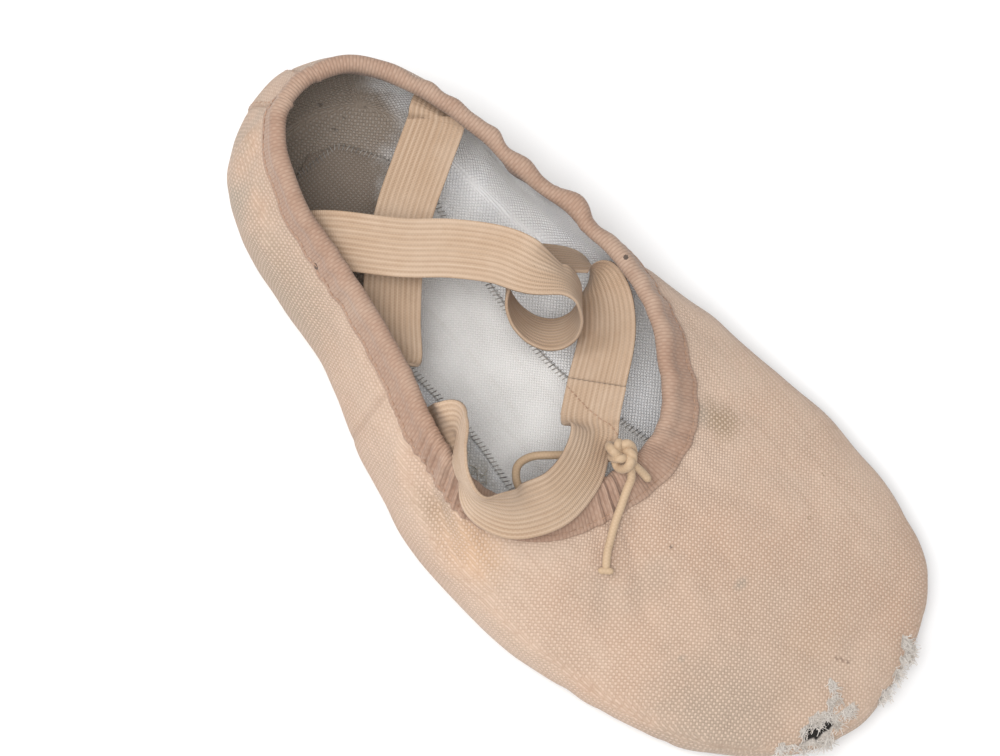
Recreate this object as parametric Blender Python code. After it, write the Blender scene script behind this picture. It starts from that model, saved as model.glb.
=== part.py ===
# A soft split-sole ballet slipper in worn cotton canvas, for the right foot, standing empty on a floor.
# Metres, +Z up, +Y towards the toe, +X towards the outer side of the foot.
# The origin lies on the floor under the middle of the slipper's box.
import math

import bmesh
import bpy
import numpy as np

MM = 0.001

# Driving sizes of the canvas upper
LENGTH = 240 * MM
BALL_WIDTH = 106 * MM
HEEL_WIDTH = 72 * MM
HEEL_HEIGHT = 54 * MM
SIDE_HEIGHT = 47 * MM
THROAT_HEIGHT = 36 * MM
COLLAR_BACK = 11 * MM
THROAT_AT = 148 * MM
FOREFOOT_SWING = -9 * MM
WIDEST_HEIGHT = 13 * MM
ARCH_RISE = 3.0 * MM
CANVAS = 1.4 * MM
TUCK = 11 * MM
GAP = 0.3 * MM

# Suede soles and insole
SUEDE = 2.2 * MM
SUEDE_PROUD = 0.8 * MM
FORE_SOLE_LENGTH = 84 * MM
FORE_SOLE_WIDTH = 57 * MM
FORE_SOLE_FROM_TOE = 34 * MM
HEEL_SOLE_LENGTH = 58 * MM
HEEL_SOLE_WIDTH = 41 * MM
HEEL_SOLE_FROM_HEEL = 13 * MM
INSOLE = 1.3 * MM
INSOLE_HEEL_WIDTH = 40 * MM
INSOLE_WAIST_WIDTH = 35 * MM
INSOLE_BALL_WIDTH = 47 * MM
INSOLE_FROM_HEEL = 16 * MM
INSOLE_FROM_TOE = 44 * MM
INSOLE_STEPS = 26
SOLE_EDGE = 0.5 * MM
FORE_SOLE_INWARD = 1 * MM

# Elastic straps and drawstring
ELASTIC_WIDTH = 16 * MM
ELASTIC = 1.0 * MM
SEAT_CLEAR = 0.9 * MM
SEWN_DEPTH = 22 * MM
CURL_ALONG, CURL_UP = 10 * MM, 12 * MM
CURL_END = 8 * MM
CURL_PITCH = 19 * MM
CURL_LEAD = 6 * MM
CORD = 2.3 * MM

# Fineness of the meshes
RING_STEPS = 40
WALL_STEPS = 10
TUCK_STEPS = 4
FLOOR_STEPS = 3
SOLE_STEPS = 24

# One row for each section around the slipper, from heel back to toe tip, used on both sides.
# Places along the foot are shares of the length, or of the way from collar back to throat.
# Widths are shares of the local half width, and the widest line's height of WIDEST_HEIGHT.
SECTIONS = (
    # out_y, out_lat, out_med, widest, col_y, col_lat, col_med, col_z, lean
    (0.000, 0.00, 0.00, 1.9, 0.000, 0.00, 0.00, HEEL_HEIGHT, 4),
    (0.018, 0.46, 0.46, 1.9, 0.025, 0.34, 0.34, HEEL_HEIGHT * 0.995, 5),
    (0.070, 0.83, 0.83, 1.8, 0.110, 0.58, 0.60, HEEL_HEIGHT * 0.97, 8),
    (0.160, 1.02, 1.00, 1.5, 0.250, 0.72, 0.78, HEEL_HEIGHT * 0.93, 14),
    (0.270, 1.06, 1.00, 1.3, 0.420, 0.74, 0.86, SIDE_HEIGHT * 1.03, 18),
    (0.390, 1.10, 0.98, 1.2, 0.600, 0.76, 0.84, SIDE_HEIGHT * 0.98, 24),
    (0.510, 1.11, 1.00, 1.1, 0.760, 0.79, 0.72, SIDE_HEIGHT * 0.91, 34),
    (0.630, 1.08, 1.02, 1.0, 0.880, 0.70, 0.53, THROAT_HEIGHT * 1.07, 46),
    (0.750, 1.00, 1.03, 1.0, 0.955, 0.51, 0.36, THROAT_HEIGHT * 1.01, 60),
    (0.860, 0.84, 0.95, 1.0, 0.988, 0.29, 0.21, THROAT_HEIGHT, 70),
    (0.950, 0.53, 0.66, 1.0, 0.998, 0.11, 0.09, THROAT_HEIGHT, 75),
    (1.000, 0.00, 0.00, 1.0, 1.000, 0.00, 0.00, THROAT_HEIGHT, 77),
)
HEEL_END, BALL_START = 0.20, 0.62
COLLAR_REACH, OUTLINE_REACH = 0.42, 0.50

# The insole's half widths at shares of its length, from heel to toe, outer side and inner side,
# as shares of the half width that the row follows.
INSOLE_ROWS = (
    # share, half width followed, lateral, medial
    (0.00, INSOLE_HEEL_WIDTH / 2, 0.0, 0.0),
    (0.03, INSOLE_HEEL_WIDTH / 2, 0.48, 0.48),
    (0.14, INSOLE_HEEL_WIDTH / 2, 1.00, 0.95),
    (0.30, INSOLE_HEEL_WIDTH / 2, 1.00, 0.76),
    (0.50, INSOLE_WAIST_WIDTH / 2, 1.09, 0.64),
    (0.68, INSOLE_BALL_WIDTH / 2, 0.98, 0.68),
    (0.84, INSOLE_BALL_WIDTH / 2, 1.00, 0.98),
    (0.96, INSOLE_BALL_WIDTH / 2, 0.55, 0.60),
    (1.00, INSOLE_BALL_WIDTH / 2, 0.0, 0.0),
)

# The straps' middle lines. Along is a share of LENGTH, across of the local half width from the
# foot's middle line, height of SIDE_HEIGHT. The last three say which way the elastic's width points.
STRAP_CROSS = (
    # along, across, height, width_x, width_y, width_z
    (0.167, -0.66, 0.81, -0.55, 0.84, 0.01),
    (0.190, -0.39, 0.72, -0.58, 0.81, 0.02),
    (0.218, -0.08, 0.66, -0.62, 0.78, 0.04),
    (0.256, 0.23, 0.64, -0.72, 0.69, 0.08),
    (0.310, 0.53, 0.66, -0.81, 0.57, 0.12),
    (0.351, 0.70, 0.72, -0.91, 0.37, 0.18),
)
STRAP_LONG_START = (
    # along, across, height, width_x, width_y, width_z
    (0.207, 0.57, 0.91, 0.64, 0.71, -0.28),
    (0.262, 0.24, 0.96, 0.61, 0.74, -0.28),
    (0.300, -0.04, 0.98, 0.61, 0.74, -0.28),
    (0.342, -0.24, 1.03, 0.63, 0.76, -0.10),
    (0.380, -0.32, 1.07, 0.66, 0.72, 0.20),
)
STRAP_LONG_END = (
    # along, across, height, width_x, width_y, width_z
    (0.395, -0.74, 0.62, 0.23, 0.63, 0.74),
    (0.436, -0.66, 0.62, -0.32, 0.75, 0.58),
    (0.479, -0.45, 0.66, -0.59, 0.73, 0.34),
    (0.518, -0.17, 0.735, -0.70, 0.69, 0.13),
    (0.545, 0.01, 0.785, -0.69, 0.72, 0.07),
)
STRAP_FRONT = (
    # along, across, height, width_x, width_y, width_z
    (0.564, 0.09, 0.88, -0.69, 0.37, -0.63),
    (0.586, 0.26, 0.91, -0.43, 0.66, -0.62),
    (0.594, 0.45, 0.93, 0.14, 0.82, -0.55),
    (0.585, 0.61, 0.95, 0.46, 0.69, -0.56),
    (0.571, 0.72, 0.99, 0.31, 0.48, -0.82),
    (0.544, 0.81, 1.06, 0.10, 0.19, -0.98),
    (0.515, 0.81, 1.13, -0.03, -0.10, -0.99),
    (0.496, 0.76, 1.15, 0.05, -0.10, -0.99),
    (0.479, 0.66, 1.12, 0.10, -0.10, -0.99),
    (0.468, 0.61, 1.02, 0.15, -0.10, -0.98),
)
CURL_CENTRE = (0.407, -0.307, 0.787)
CURL_FORWARD = np.array([-0.754, 0.650, 0.095])
CURL_RISE = np.array([-0.390, -0.559, 0.732])
CURL_AXIS = np.array([0.529, 0.515, 0.674])
CURL_FIRST, CURL_LAST = math.radians(60), math.radians(-250)
CURL_STEPS = 12

# Where each strap is sewn to the wall, as the ring position of its middle. The front strap comes
# down inside the wall and lies along it: its rows give depth from the rim and distance from the wall.
CROSS_SEATS = (70, 16.6)
LONG_SEAT = 11
FRONT_SEAT = (
    # ring position, down, clear of the wall
    (20.4, 6 * MM, 5.0 * MM),
    (19.7, 12 * MM, 3.2 * MM),
    (18.9, 17 * MM, 2.0 * MM),
    (18.0, 19 * MM, 1.3 * MM),
)

# The drawstring's knot and the routes of its loop and ends, in metres from the origin.
KNOT_AT = (0.0027, 0.0246, 0.0428)
KNOT_HALF = (0.0042, 0.0050, 0.0038)
LOOP_ROUTE = (
    (0.0027, 0.0246, 0.0428),
    (0.0029, 0.0242, 0.0384),
    (0.0034, 0.0226, 0.0353),
    (0.0052, 0.0196, 0.0330),
    (0.0088, 0.0155, 0.0308),
    (0.0132, 0.0114, 0.0292),
    (0.0180, 0.0076, 0.0282),
    (0.0226, 0.0070, 0.0286),
    (0.0258, 0.0096, 0.0298),
    (0.0276, 0.0134, 0.0312),
    (0.0292, 0.0180, 0.0326),
)
LONG_END_ROUTE = (
    (0.0027, 0.0246, 0.0428),
    (0.0032, 0.0286, 0.0421),
    (0.0045, 0.0308, 0.0410),
    (0.0058, 0.0316, 0.0400),
    (0.0075, 0.0325, 0.0390),
    (0.0110, 0.0346, 0.0376),
    (0.0143, 0.0365, 0.0359),
    (0.0185, 0.0394, 0.0340),
    (0.0215, 0.0417, 0.0329),
    (0.0245, 0.0448, 0.0321),
)
SHORT_END_ROUTE = (
    (0.0027, 0.0246, 0.0428),
    (0.0016, 0.0290, 0.0413),
    (0.0008, 0.0318, 0.0395),
    (0.0006, 0.0345, 0.0385),
)

# The binding's section: distance down the wall from the rim, and out from the canvas's outer face.
BINDING_WIDTH = 9 * MM
BINDING_OUTSIDE = (
    # down, out
    (BINDING_WIDTH, 0.3 * MM),
    (BINDING_WIDTH, 1.0 * MM),
    (4.6 * MM, 1.2 * MM),
    (0.6 * MM, 1.6 * MM),
    (-1.5 * MM, 0.8 * MM),
    (-2.0 * MM, -0.7 * MM),
)
STAGGER = 1 * MM


def smooth(t):
    t = np.clip(t, 0.0, 1.0)
    return t * t * (3 - 2 * t)


def breadth(share):
    """Half the slipper's width at a share of its length, between the heel's width and the ball's."""
    return 0.5 * (HEEL_WIDTH + (BALL_WIDTH - HEEL_WIDTH) * smooth((share - HEEL_END) / (BALL_START - HEEL_END)))


def centre(share):
    """How far the foot's middle line has swung to the inner side at a share of its length."""
    return FOREFOOT_SWING * smooth((share - 0.35) / 0.65)


def closed_spline(points, steps):
    """Samples a smooth closed curve through the rows of points, steps samples to a turn."""
    n = len(points)
    knots = np.arange(n)
    turn = np.zeros((n, n))
    turn[knots, knots] = 4
    turn[knots, (knots + 1) % n] = 1
    turn[knots, (knots - 1) % n] = 1
    after, before = np.roll(points, -1, axis=0), np.roll(points, 1, axis=0)
    bend = np.linalg.solve(turn, 6 * (after - 2 * points + before))
    u = np.arange(steps) * n / steps
    k = np.floor(u).astype(int) % n
    t = (u - np.floor(u))[:, None]
    p0, p1, m0, m1 = points[k], points[(k + 1) % n], bend[k], bend[(k + 1) % n]
    return (
        p0 * (1 - t)
        + p1 * t
        + m0 * ((1 - t) ** 3 - (1 - t)) / 6
        + m1 * (t**3 - t) / 6
    )


def open_spline(points, steps):
    """Samples a smooth curve through the rows of points at even steps of its length."""
    points = np.array(points, dtype=float)
    padded = np.vstack([2 * points[0] - points[1], points, 2 * points[-1] - points[-2]])
    fine = []
    for k in range(len(points) - 1):
        p0, p1, p2, p3 = padded[k : k + 4]
        for t in np.linspace(0, 1, 12, endpoint=False):
            fine.append(
                0.5 * (2 * p1 + (p2 - p0) * t + (2 * p0 - 5 * p1 + 4 * p2 - p3) * t**2
                       + (3 * p1 - p0 - 3 * p2 + p3) * t**3)
            )
    fine.append(points[-1])
    fine = np.array(fine)
    run = np.concatenate([[0], np.cumsum(np.linalg.norm(np.diff(fine[:, :3], axis=0), axis=1))])
    want = np.linspace(0, run[-1], steps + 1)
    return np.stack([np.interp(want, run, fine[:, c]) for c in range(fine.shape[1])], axis=1)


def ring_table():
    """The rows of SECTIONS as real places: up the outer side to the toe and back down the inner side."""
    rows = [(row, 1, 1) for row in SECTIONS] + [(row, -1, 2) for row in SECTIONS[-2:0:-1]]
    made = []
    for row, side, column in rows:
        out_y, col_y, col_z = row[0], row[4], row[7]
        collar_y = COLLAR_BACK + (THROAT_AT - COLLAR_BACK) * col_y
        share = collar_y / LENGTH
        made.append((
            centre(out_y) + side * row[column] * breadth(out_y),
            out_y * LENGTH,
            row[3] * WIDEST_HEIGHT,
            centre(share) + side * row[column + 4] * breadth(share),
            collar_y,
            col_z,
            row[8],
        ))
    return np.array(made)


def floor_height(y):
    """How high the canvas lies under the foot: level at both ends, a little higher in the arch."""
    share = y / LENGTH
    return SUEDE_PROUD + ARCH_RISE * smooth((share - 0.24) / 0.14) * smooth((0.62 - share) / 0.14)


def upper_rings():
    """The canvas's outer face: rings from the collar down the wall, under the edge, in to the middle."""
    ring = closed_spline(ring_table(), 2 * RING_STEPS)
    outline, collar = ring[:, 0:3], ring[:, 3:6]
    lean = np.radians(ring[:, 6:7])
    outward = outline - collar
    outward[:, 2] = 0
    outward /= np.linalg.norm(outward, axis=1)[:, None]
    up = np.array([0, 0, 1.0])
    reach = np.linalg.norm(outline - collar, axis=1)[:, None]
    drop = (collar - outline)[:, 2:3]
    from_collar = collar + COLLAR_REACH * reach * (np.sin(lean) * outward - np.cos(lean) * up)
    from_outline = outline + OUTLINE_REACH * drop * up
    rings = []
    for t in np.linspace(0, 1, WALL_STEPS + 1):
        rings.append(
            (1 - t) ** 3 * collar + 3 * (1 - t) ** 2 * t * from_collar
            + 3 * (1 - t) * t * t * from_outline + t**3 * outline
        )
    along = np.roll(outline, -1, axis=0) - np.roll(outline, 1, axis=0)
    inward = np.stack([-along[:, 1], along[:, 0], 0 * along[:, 0]], axis=1)
    inward /= np.linalg.norm(inward, axis=1)[:, None]
    feather = outline + TUCK * inward
    feather[:, 2] = floor_height(feather[:, 1])
    for t in np.linspace(0, math.pi / 2, TUCK_STEPS + 1)[1:]:
        point = outline + (feather - outline) * (1 - math.cos(t))
        point[:, 2] = outline[:, 2] - (outline[:, 2] - feather[:, 2]) * math.sin(t)
        rings.append(point)
    spine = feather.copy()
    mirrored = np.roll(feather[::-1], 1, axis=0)
    share = 0.10 + 0.78 * (feather[:, 1] + mirrored[:, 1]) / 2 / LENGTH
    spine[:, 0] = centre(share)
    spine[:, 1] = share * LENGTH
    spine[:, 2] = floor_height(spine[:, 1])
    for t in np.linspace(0, 1, FLOOR_STEPS + 1)[1:]:
        point = feather + (spine - feather) * t
        point[:, 2] = floor_height(point[:, 1])
        rings.append(point)
    return np.array(rings)


def outward_normals(rings):
    """The outward direction at each point of the rings, straight down on the floor of the canvas."""
    along = np.roll(rings, -1, axis=1) - np.roll(rings, 1, axis=1)
    down = np.gradient(rings, axis=0)
    face = np.cross(down, along)
    face /= np.maximum(np.linalg.norm(face, axis=2)[:, :, None], 1e-9)
    face[WALL_STEPS + TUCK_STEPS :] = (0, 0, -1)
    return face


RINGS = upper_rings()
NORMALS = outward_normals(RINGS)
ORIGIN = np.array([(RINGS[:, :, 0].min() + RINGS[:, :, 0].max()) / 2, LENGTH / 2, 0.0])


def on_wall(j, down, out):
    """A point beside the wall at ring position j: down from the rim, and out from the outer face."""
    k, part = int(j), j - int(j)
    line = (1 - part) * RINGS[: WALL_STEPS + 1, k] + part * RINGS[: WALL_STEPS + 1, k + 1 if part else k]
    facing = NORMALS[: WALL_STEPS + 1, k]
    run = np.concatenate([[0], np.cumsum(np.linalg.norm(np.diff(line, axis=0), axis=1))])
    if down < 0:
        above = (line[0] - line[1]) / run[1]
        return line[0] - above * down + facing[0] * out
    point = np.array([np.interp(down, run, line[:, c]) for c in range(3)])
    normal = np.array([np.interp(down, run, facing[:, c]) for c in range(3)])
    return point + normal / np.linalg.norm(normal) * out


def material(name, colour, roughness):
    made = bpy.data.materials.new(name)
    made.use_nodes = True
    shader = made.node_tree.nodes["Principled BSDF"]
    shader.inputs["Base Color"].default_value = (*colour, 1)
    shader.inputs["Roughness"].default_value = roughness
    shader.inputs["Metallic"].default_value = 0.0
    return made


def finish_mesh(name, points, faces, paint):
    """Makes a closed, smooth-shaded object of points and faces with its faces pointing out."""
    mesh = bpy.data.meshes.new(name)
    mesh.from_pydata([tuple(p) for p in np.array(points) - ORIGIN], [], faces)
    work = bmesh.new()
    work.from_mesh(mesh)
    bmesh.ops.remove_doubles(work, verts=work.verts, dist=0.00001)
    bmesh.ops.dissolve_degenerate(work, dist=0.000001, edges=work.edges)
    bmesh.ops.recalc_face_normals(work, faces=work.faces)
    work.to_mesh(mesh)
    work.free()
    mesh.shade_smooth()
    mesh.set_sharp_from_angle(angle=math.radians(50))
    mesh.materials.append(paint)
    made = bpy.data.objects.new(name, mesh)
    bpy.context.scene.collection.objects.link(made)
    return made


def grid_faces(rows, columns, first, closed, flip=False):
    """Quads over rows of points, whose first point has the index first."""
    faces = []
    for i in range(rows - 1):
        for j in range(columns if closed else columns - 1):
            k = (j + 1) % columns
            quad = (
                first + i * columns + j,
                first + i * columns + k,
                first + (i + 1) * columns + k,
                first + (i + 1) * columns + j,
            )
            faces.append(quad[::-1] if flip else quad)
    return faces


def sole_outline(length, width, near_round, near_point, grow):
    """A pattern piece round at its first end and pointed at the other, grown evenly by its edge."""
    turn = np.linspace(0, math.pi, SOLE_STEPS + 1)
    share = (1 - np.cos(turn)) / 2
    half = width / 2 * np.sin(math.pi * share**near_round) ** near_point
    half[-1] = 0.0
    side = np.stack([half, share * length], axis=1)
    loop = np.vstack([side, side[-2:0:-1] * (-1, 1)])
    along = np.roll(loop, -1, axis=0) - np.roll(loop, 1, axis=0)
    out = np.stack([along[:, 1], -along[:, 0]], axis=1)
    out /= np.linalg.norm(out, axis=1)[:, None]
    return loop + out * grow


def sole_piece(name, outline, place, thickness, bottom, chamfer, paint):
    """A flat piece of suede, its lower edge worn round."""
    x0, y0, way = place
    points = []
    for level, grow in ((bottom, -chamfer), (bottom + chamfer, 0.0), (bottom + thickness, 0.0)):
        for x, y in outline(grow):
            points.append((x0 + x * way, y0 + y * way, level))
    count = len(points) // 3
    faces = grid_faces(3, count, 0, True)
    faces.append(tuple(range(count)))
    faces.append(tuple(range(2 * count, 3 * count)))
    return finish_mesh(name, points, faces, paint)


def fore_sole_outline(grow):
    return sole_outline(FORE_SOLE_LENGTH, FORE_SOLE_WIDTH, 0.80, 0.50, grow)


def heel_sole_outline(grow):
    return sole_outline(HEEL_SOLE_LENGTH, HEEL_SOLE_WIDTH, 0.66, 0.76, grow)


def sole_places():
    fore_y = LENGTH - FORE_SOLE_FROM_TOE
    return {
        "sole_forefoot": (fore_sole_outline, (centre(fore_y / LENGTH - 0.15) - FORE_SOLE_INWARD, fore_y, -1)),
        "sole_heel": (heel_sole_outline, (0.0, HEEL_SOLE_FROM_HEEL, 1)),
    }


def make_upper(paint):
    """The hollow canvas upper: one wall, open at the collar and cut out over both soles."""
    inner = RINGS - NORMALS * CANVAS
    rows, columns = RINGS.shape[:2]
    points = np.vstack([RINGS.reshape(-1, 3), inner.reshape(-1, 3)])
    faces = grid_faces(rows, columns, 0, True) + grid_faces(rows, columns, rows * columns, True, True)
    for j in range(columns):
        k = (j + 1) % columns
        faces.append((k, j, rows * columns + j, rows * columns + k))
    upper = finish_mesh("upper", points, faces, paint)
    for name, (outline, place) in sole_places().items():
        cutter = sole_piece(
            name + "_window", lambda grow, cut=outline: cut(grow + GAP), place, 8 * MM, -3 * MM, 0.0, paint
        )
        cutter.hide_render = True
        cutter.display_type = "WIRE"
        cut = upper.modifiers.new(name + "_window", "BOOLEAN")
        cut.operation = "DIFFERENCE"
        cut.solver = "EXACT"
        cut.object = cutter
    return upper


def make_binding(paint):
    """The folded tape around the collar, with the round edge that the drawstring runs in."""
    tips = [(-CANVAS - out, down) for down, out in BINDING_OUTSIDE[-2::-1]]
    inside = [(min(down, BINDING_WIDTH - STAGGER), out) for out, down in tips]
    steps = [down for down, out in BINDING_OUTSIDE if 0 < down < BINDING_WIDTH]
    lining = [(down, -CANVAS - GAP) for down in steps] + [(-GAP, -CANVAS - GAP), (-GAP, GAP)]
    lining += [(down, GAP) for down in reversed(steps)]
    section = list(BINDING_OUTSIDE) + inside + lining
    columns = 2 * RING_STEPS
    points = [on_wall(j, down, out) for down, out in section for j in range(columns)]
    faces = grid_faces(len(section), columns, 0, True)
    last = (len(section) - 1) * columns
    for j in range(columns):
        k = (j + 1) % columns
        faces.append((last + j, last + k, k, j))
    return finish_mesh("binding", points, faces, paint)


def make_insole(paint):
    """A thin pad on the floor of the slipper, narrow in the arch, that follows the canvas under it."""
    length = LENGTH - INSOLE_FROM_HEEL - INSOLE_FROM_TOE
    rows = [(share, half * lateral, half * medial) for share, half, lateral, medial in INSOLE_ROWS]
    stations = open_spline(rows, INSOLE_STEPS)
    points = []
    across = (-1.0, -0.6, 0.0, 0.6, 1.0)
    for level in (GAP, GAP + INSOLE):
        for share, lateral, medial in stations:
            y = INSOLE_FROM_HEEL + share * length
            for side in across:
                half = lateral if side > 0 else medial
                x = centre(y / LENGTH) + side * max(half, 0.0)
                points.append((x, y, floor_height(y) + CANVAS + level))
    rows, columns = len(stations), len(across)
    first_top = rows * columns
    faces = grid_faces(rows, columns, 0, False) + grid_faces(rows, columns, first_top, False, True)
    for i in range(rows - 1):
        for j in (0, columns - 1):
            a, b = i * columns + j, (i + 1) * columns + j
            faces.append((a, b, first_top + b, first_top + a))
    return finish_mesh("insole", points, faces, paint)


def strap_rows(table):
    """The rows of a strap's table as real places, each with its width's direction."""
    rows = []
    for along, across, height, *width in table:
        x = centre(along) + across * breadth(along)
        rows.append((x, along * LENGTH, height * SIDE_HEIGHT, *width))
    return rows


def sewn_end(j):
    """The rows of a strap's end that lies sewn against the wall, from its tip up to the binding.

    Its width follows the wall, so it is measured between two places a little to either side.
    """
    beside_wall = -CANVAS - SEAT_CLEAR - ELASTIC / 2
    past_binding = beside_wall - BINDING_OUTSIDE[-2][1] - 3 * GAP
    rungs = (
        (SEWN_DEPTH, beside_wall),
        ((SEWN_DEPTH + BINDING_WIDTH) / 2, beside_wall),
        (BINDING_WIDTH + 1.5 * MM, past_binding),
    )
    rows = []
    for down, out in rungs:
        width = on_wall(j + 1, down, out) - on_wall(j - 1, down, out)
        width *= np.sign(width[1]) / np.linalg.norm(width)
        rows.append((*on_wall(j, down, out), *width))
    return rows


def along_wall(seats):
    """The rows of a strap's end that comes down to the wall and lies along it, its width down the wall."""
    rows = []
    for j, down, clear in seats:
        half = ELASTIC_WIDTH / 2
        out = -CANVAS - clear - ELASTIC / 2
        width = on_wall(j, down + half, out) - on_wall(j, down - half, out)
        rows.append((*on_wall(j, down, out), *(width / np.linalg.norm(width))))
    return rows


def curl_rows():
    """One loose turn of the long strap, which spirals down so that its second pass lies under the first."""
    along, across, height = CURL_CENTRE
    middle = np.array([centre(along) + across * breadth(along), along * LENGTH, height * SIDE_HEIGHT])
    rows = []
    for turn in np.linspace(CURL_FIRST, CURL_LAST, CURL_STEPS):
        done = (CURL_FIRST - turn) / (CURL_FIRST - CURL_LAST)
        rise = CURL_UP + (CURL_END - CURL_UP) * done**2
        sunk = CURL_PITCH * (CURL_FIRST - turn) / math.tau - CURL_LEAD
        place = (
            middle
            + CURL_ALONG * math.cos(turn) * CURL_FORWARD
            + rise * math.sin(turn) * CURL_RISE
            - sunk * CURL_AXIS
        )
        rows.append((*place, *CURL_AXIS))
    return rows


def ribbon(name, rows, steps, paint):
    """A flat elastic along rows of middle points, each with the way that its width points."""
    run = open_spline(rows, steps)
    middle, across = run[:, :3], run[:, 3:]
    ahead = np.gradient(middle, axis=0)
    ahead /= np.linalg.norm(ahead, axis=1)[:, None]
    across = across - ahead * (across * ahead).sum(axis=1)[:, None]
    across /= np.linalg.norm(across, axis=1)[:, None]
    facing = np.cross(across, ahead)
    corners = [
        middle + across * side * ELASTIC_WIDTH / 2 + facing * level * ELASTIC / 2
        for side, level in ((-1, -1), (1, -1), (1, 1), (-1, 1))
    ]
    points = np.stack(corners, axis=1).reshape(-1, 3)
    faces = grid_faces(steps + 1, 4, 0, True)
    faces += [(0, 1, 2, 3), tuple(4 * steps + k for k in range(4))]
    return finish_mesh(name, points, faces, paint)


def make_straps(paint):
    """Three lengths of elastic: one crosses the heel, two make the long one, lapped and sewn together."""
    first, last = [sewn_end(j) for j in CROSS_SEATS]
    ribbon("strap_cross", first + strap_rows(STRAP_CROSS) + last[::-1], 34, paint)
    end = strap_rows(STRAP_LONG_END)
    ribbon("strap_long", sewn_end(LONG_SEAT) + strap_rows(STRAP_LONG_START) + curl_rows() + end, 66, paint)
    lapped = [(x, y, z + ELASTIC + 3 * GAP, *width) for x, y, z, *width in end[-2:]]
    ribbon("strap_front", lapped + strap_rows(STRAP_FRONT) + along_wall(FRONT_SEAT), 42, paint)


def make_cord(name, route, paint):
    """A length of the drawstring as a round tube, from just outside the knot to the route's end."""
    steps = 40
    run = open_spline(route, steps)
    reach = np.array(KNOT_HALF) + 2 * GAP
    outside = [p for p in run if np.linalg.norm((p - KNOT_AT) / reach) > 1.0]
    kept = outside[:-1:2] + [outside[-1]]
    curve = bpy.data.curves.new(name, "CURVE")
    curve.dimensions = "3D"
    curve.bevel_depth = CORD / 2
    curve.bevel_resolution = 2
    curve.use_fill_caps = True
    line = curve.splines.new("POLY")
    line.points.add(len(kept) - 1)
    for point, place in zip(line.points, kept):
        point.co = (*place, 1)
    curve.materials.append(paint)
    made = bpy.data.objects.new(name, curve)
    bpy.context.scene.collection.objects.link(made)


def make_knot(paint):
    """The drawstring's knot, a small lump at the throat."""
    mesh = bpy.data.meshes.new("cord_knot")
    work = bmesh.new()
    bmesh.ops.create_uvsphere(work, u_segments=14, v_segments=8, radius=1.0)
    for vert in work.verts:
        vert.co = [at + half * part for at, half, part in zip(KNOT_AT, KNOT_HALF, vert.co)]
    work.to_mesh(mesh)
    work.free()
    mesh.shade_smooth()
    mesh.materials.append(paint)
    bpy.context.scene.collection.objects.link(bpy.data.objects.new("cord_knot", mesh))


def make_drawstring(paint):
    make_knot(paint)
    make_cord("cord_loop", LOOP_ROUTE, paint)
    make_cord("cord_long_end", LONG_END_ROUTE, paint)
    make_cord("cord_short_end", SHORT_END_ROUTE, paint)


def clear_scene():
    for thing in list(bpy.data.objects):
        bpy.data.objects.remove(thing, do_unlink=True)


def main():
    clear_scene()
    canvas = material("canvas", (0.78, 0.57, 0.43), 0.9)
    tape = material("binding_tape", (0.76, 0.53, 0.40), 0.85)
    suede = material("suede", (0.25, 0.24, 0.19), 0.95)
    twill = material("insole_twill", (0.80, 0.76, 0.70), 0.9)
    elastic = material("elastic", (0.74, 0.55, 0.40), 0.7)
    string = material("drawstring", (0.80, 0.65, 0.48), 0.8)
    make_upper(canvas)
    make_binding(tape)
    for name, (outline, place) in sole_places().items():
        sole_piece(name, outline, place, SUEDE, 0.0, SOLE_EDGE, suede)
    make_insole(twill)
    make_straps(elastic)
    make_drawstring(string)


main()
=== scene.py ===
# %% [markdown]
# # A worn canvas ballet slipper
#
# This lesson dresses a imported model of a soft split-sole ballet slipper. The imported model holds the
# real sizes and stays as it is. Each piece made here takes the place of one plain solid and shows what
# the solid can't: woven cloth, gathers, ribs, stitches, wear and dirt. Everything is in metres, with
# +Z up and +Y towards the toe.

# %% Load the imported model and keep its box
import math

import bpy
import numpy as np
from mathutils import Matrix


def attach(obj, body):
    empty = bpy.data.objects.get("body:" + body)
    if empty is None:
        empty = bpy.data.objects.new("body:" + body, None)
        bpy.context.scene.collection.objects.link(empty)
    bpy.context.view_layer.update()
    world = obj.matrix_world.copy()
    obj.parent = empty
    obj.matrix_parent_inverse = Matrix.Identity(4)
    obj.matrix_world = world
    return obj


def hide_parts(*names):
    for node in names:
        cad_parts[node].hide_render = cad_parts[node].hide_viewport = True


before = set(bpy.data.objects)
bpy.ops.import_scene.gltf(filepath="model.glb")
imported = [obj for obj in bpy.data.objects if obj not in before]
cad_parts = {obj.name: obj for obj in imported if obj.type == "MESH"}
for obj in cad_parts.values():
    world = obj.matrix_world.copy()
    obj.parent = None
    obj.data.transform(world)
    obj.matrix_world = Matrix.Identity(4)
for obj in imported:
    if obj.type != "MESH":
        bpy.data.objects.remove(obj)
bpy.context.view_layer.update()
print("packed nodes:", ", ".join(sorted(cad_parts)))

# %% [markdown]
# ## The camera
#
# The slipper is seen from above and a little from the heel's outer side, with the camera rolled. The
# view is given by three angles, so it can be read and changed. The lens follows from how many pixels
# a metre of the slipper covers at the camera's distance.

# %% Camera at the photograph's angle
MM = 0.001
PHOTO_WIDTH, PHOTO_HEIGHT = 1000, 756
VIEW_AZIMUTH, VIEW_ELEVATION, VIEW_ROLL = (math.radians(a) for a in (121.3, 72.8, 18.7))
CAMERA_DISTANCE = 0.9
PIXELS_PER_METRE = 3620
LOOK_POINT = np.array([0.0029, 0.0, 0.020])
LOOK_PIXEL = (552.4, 410.0)
SENSOR_WIDTH = 36.0


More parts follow.
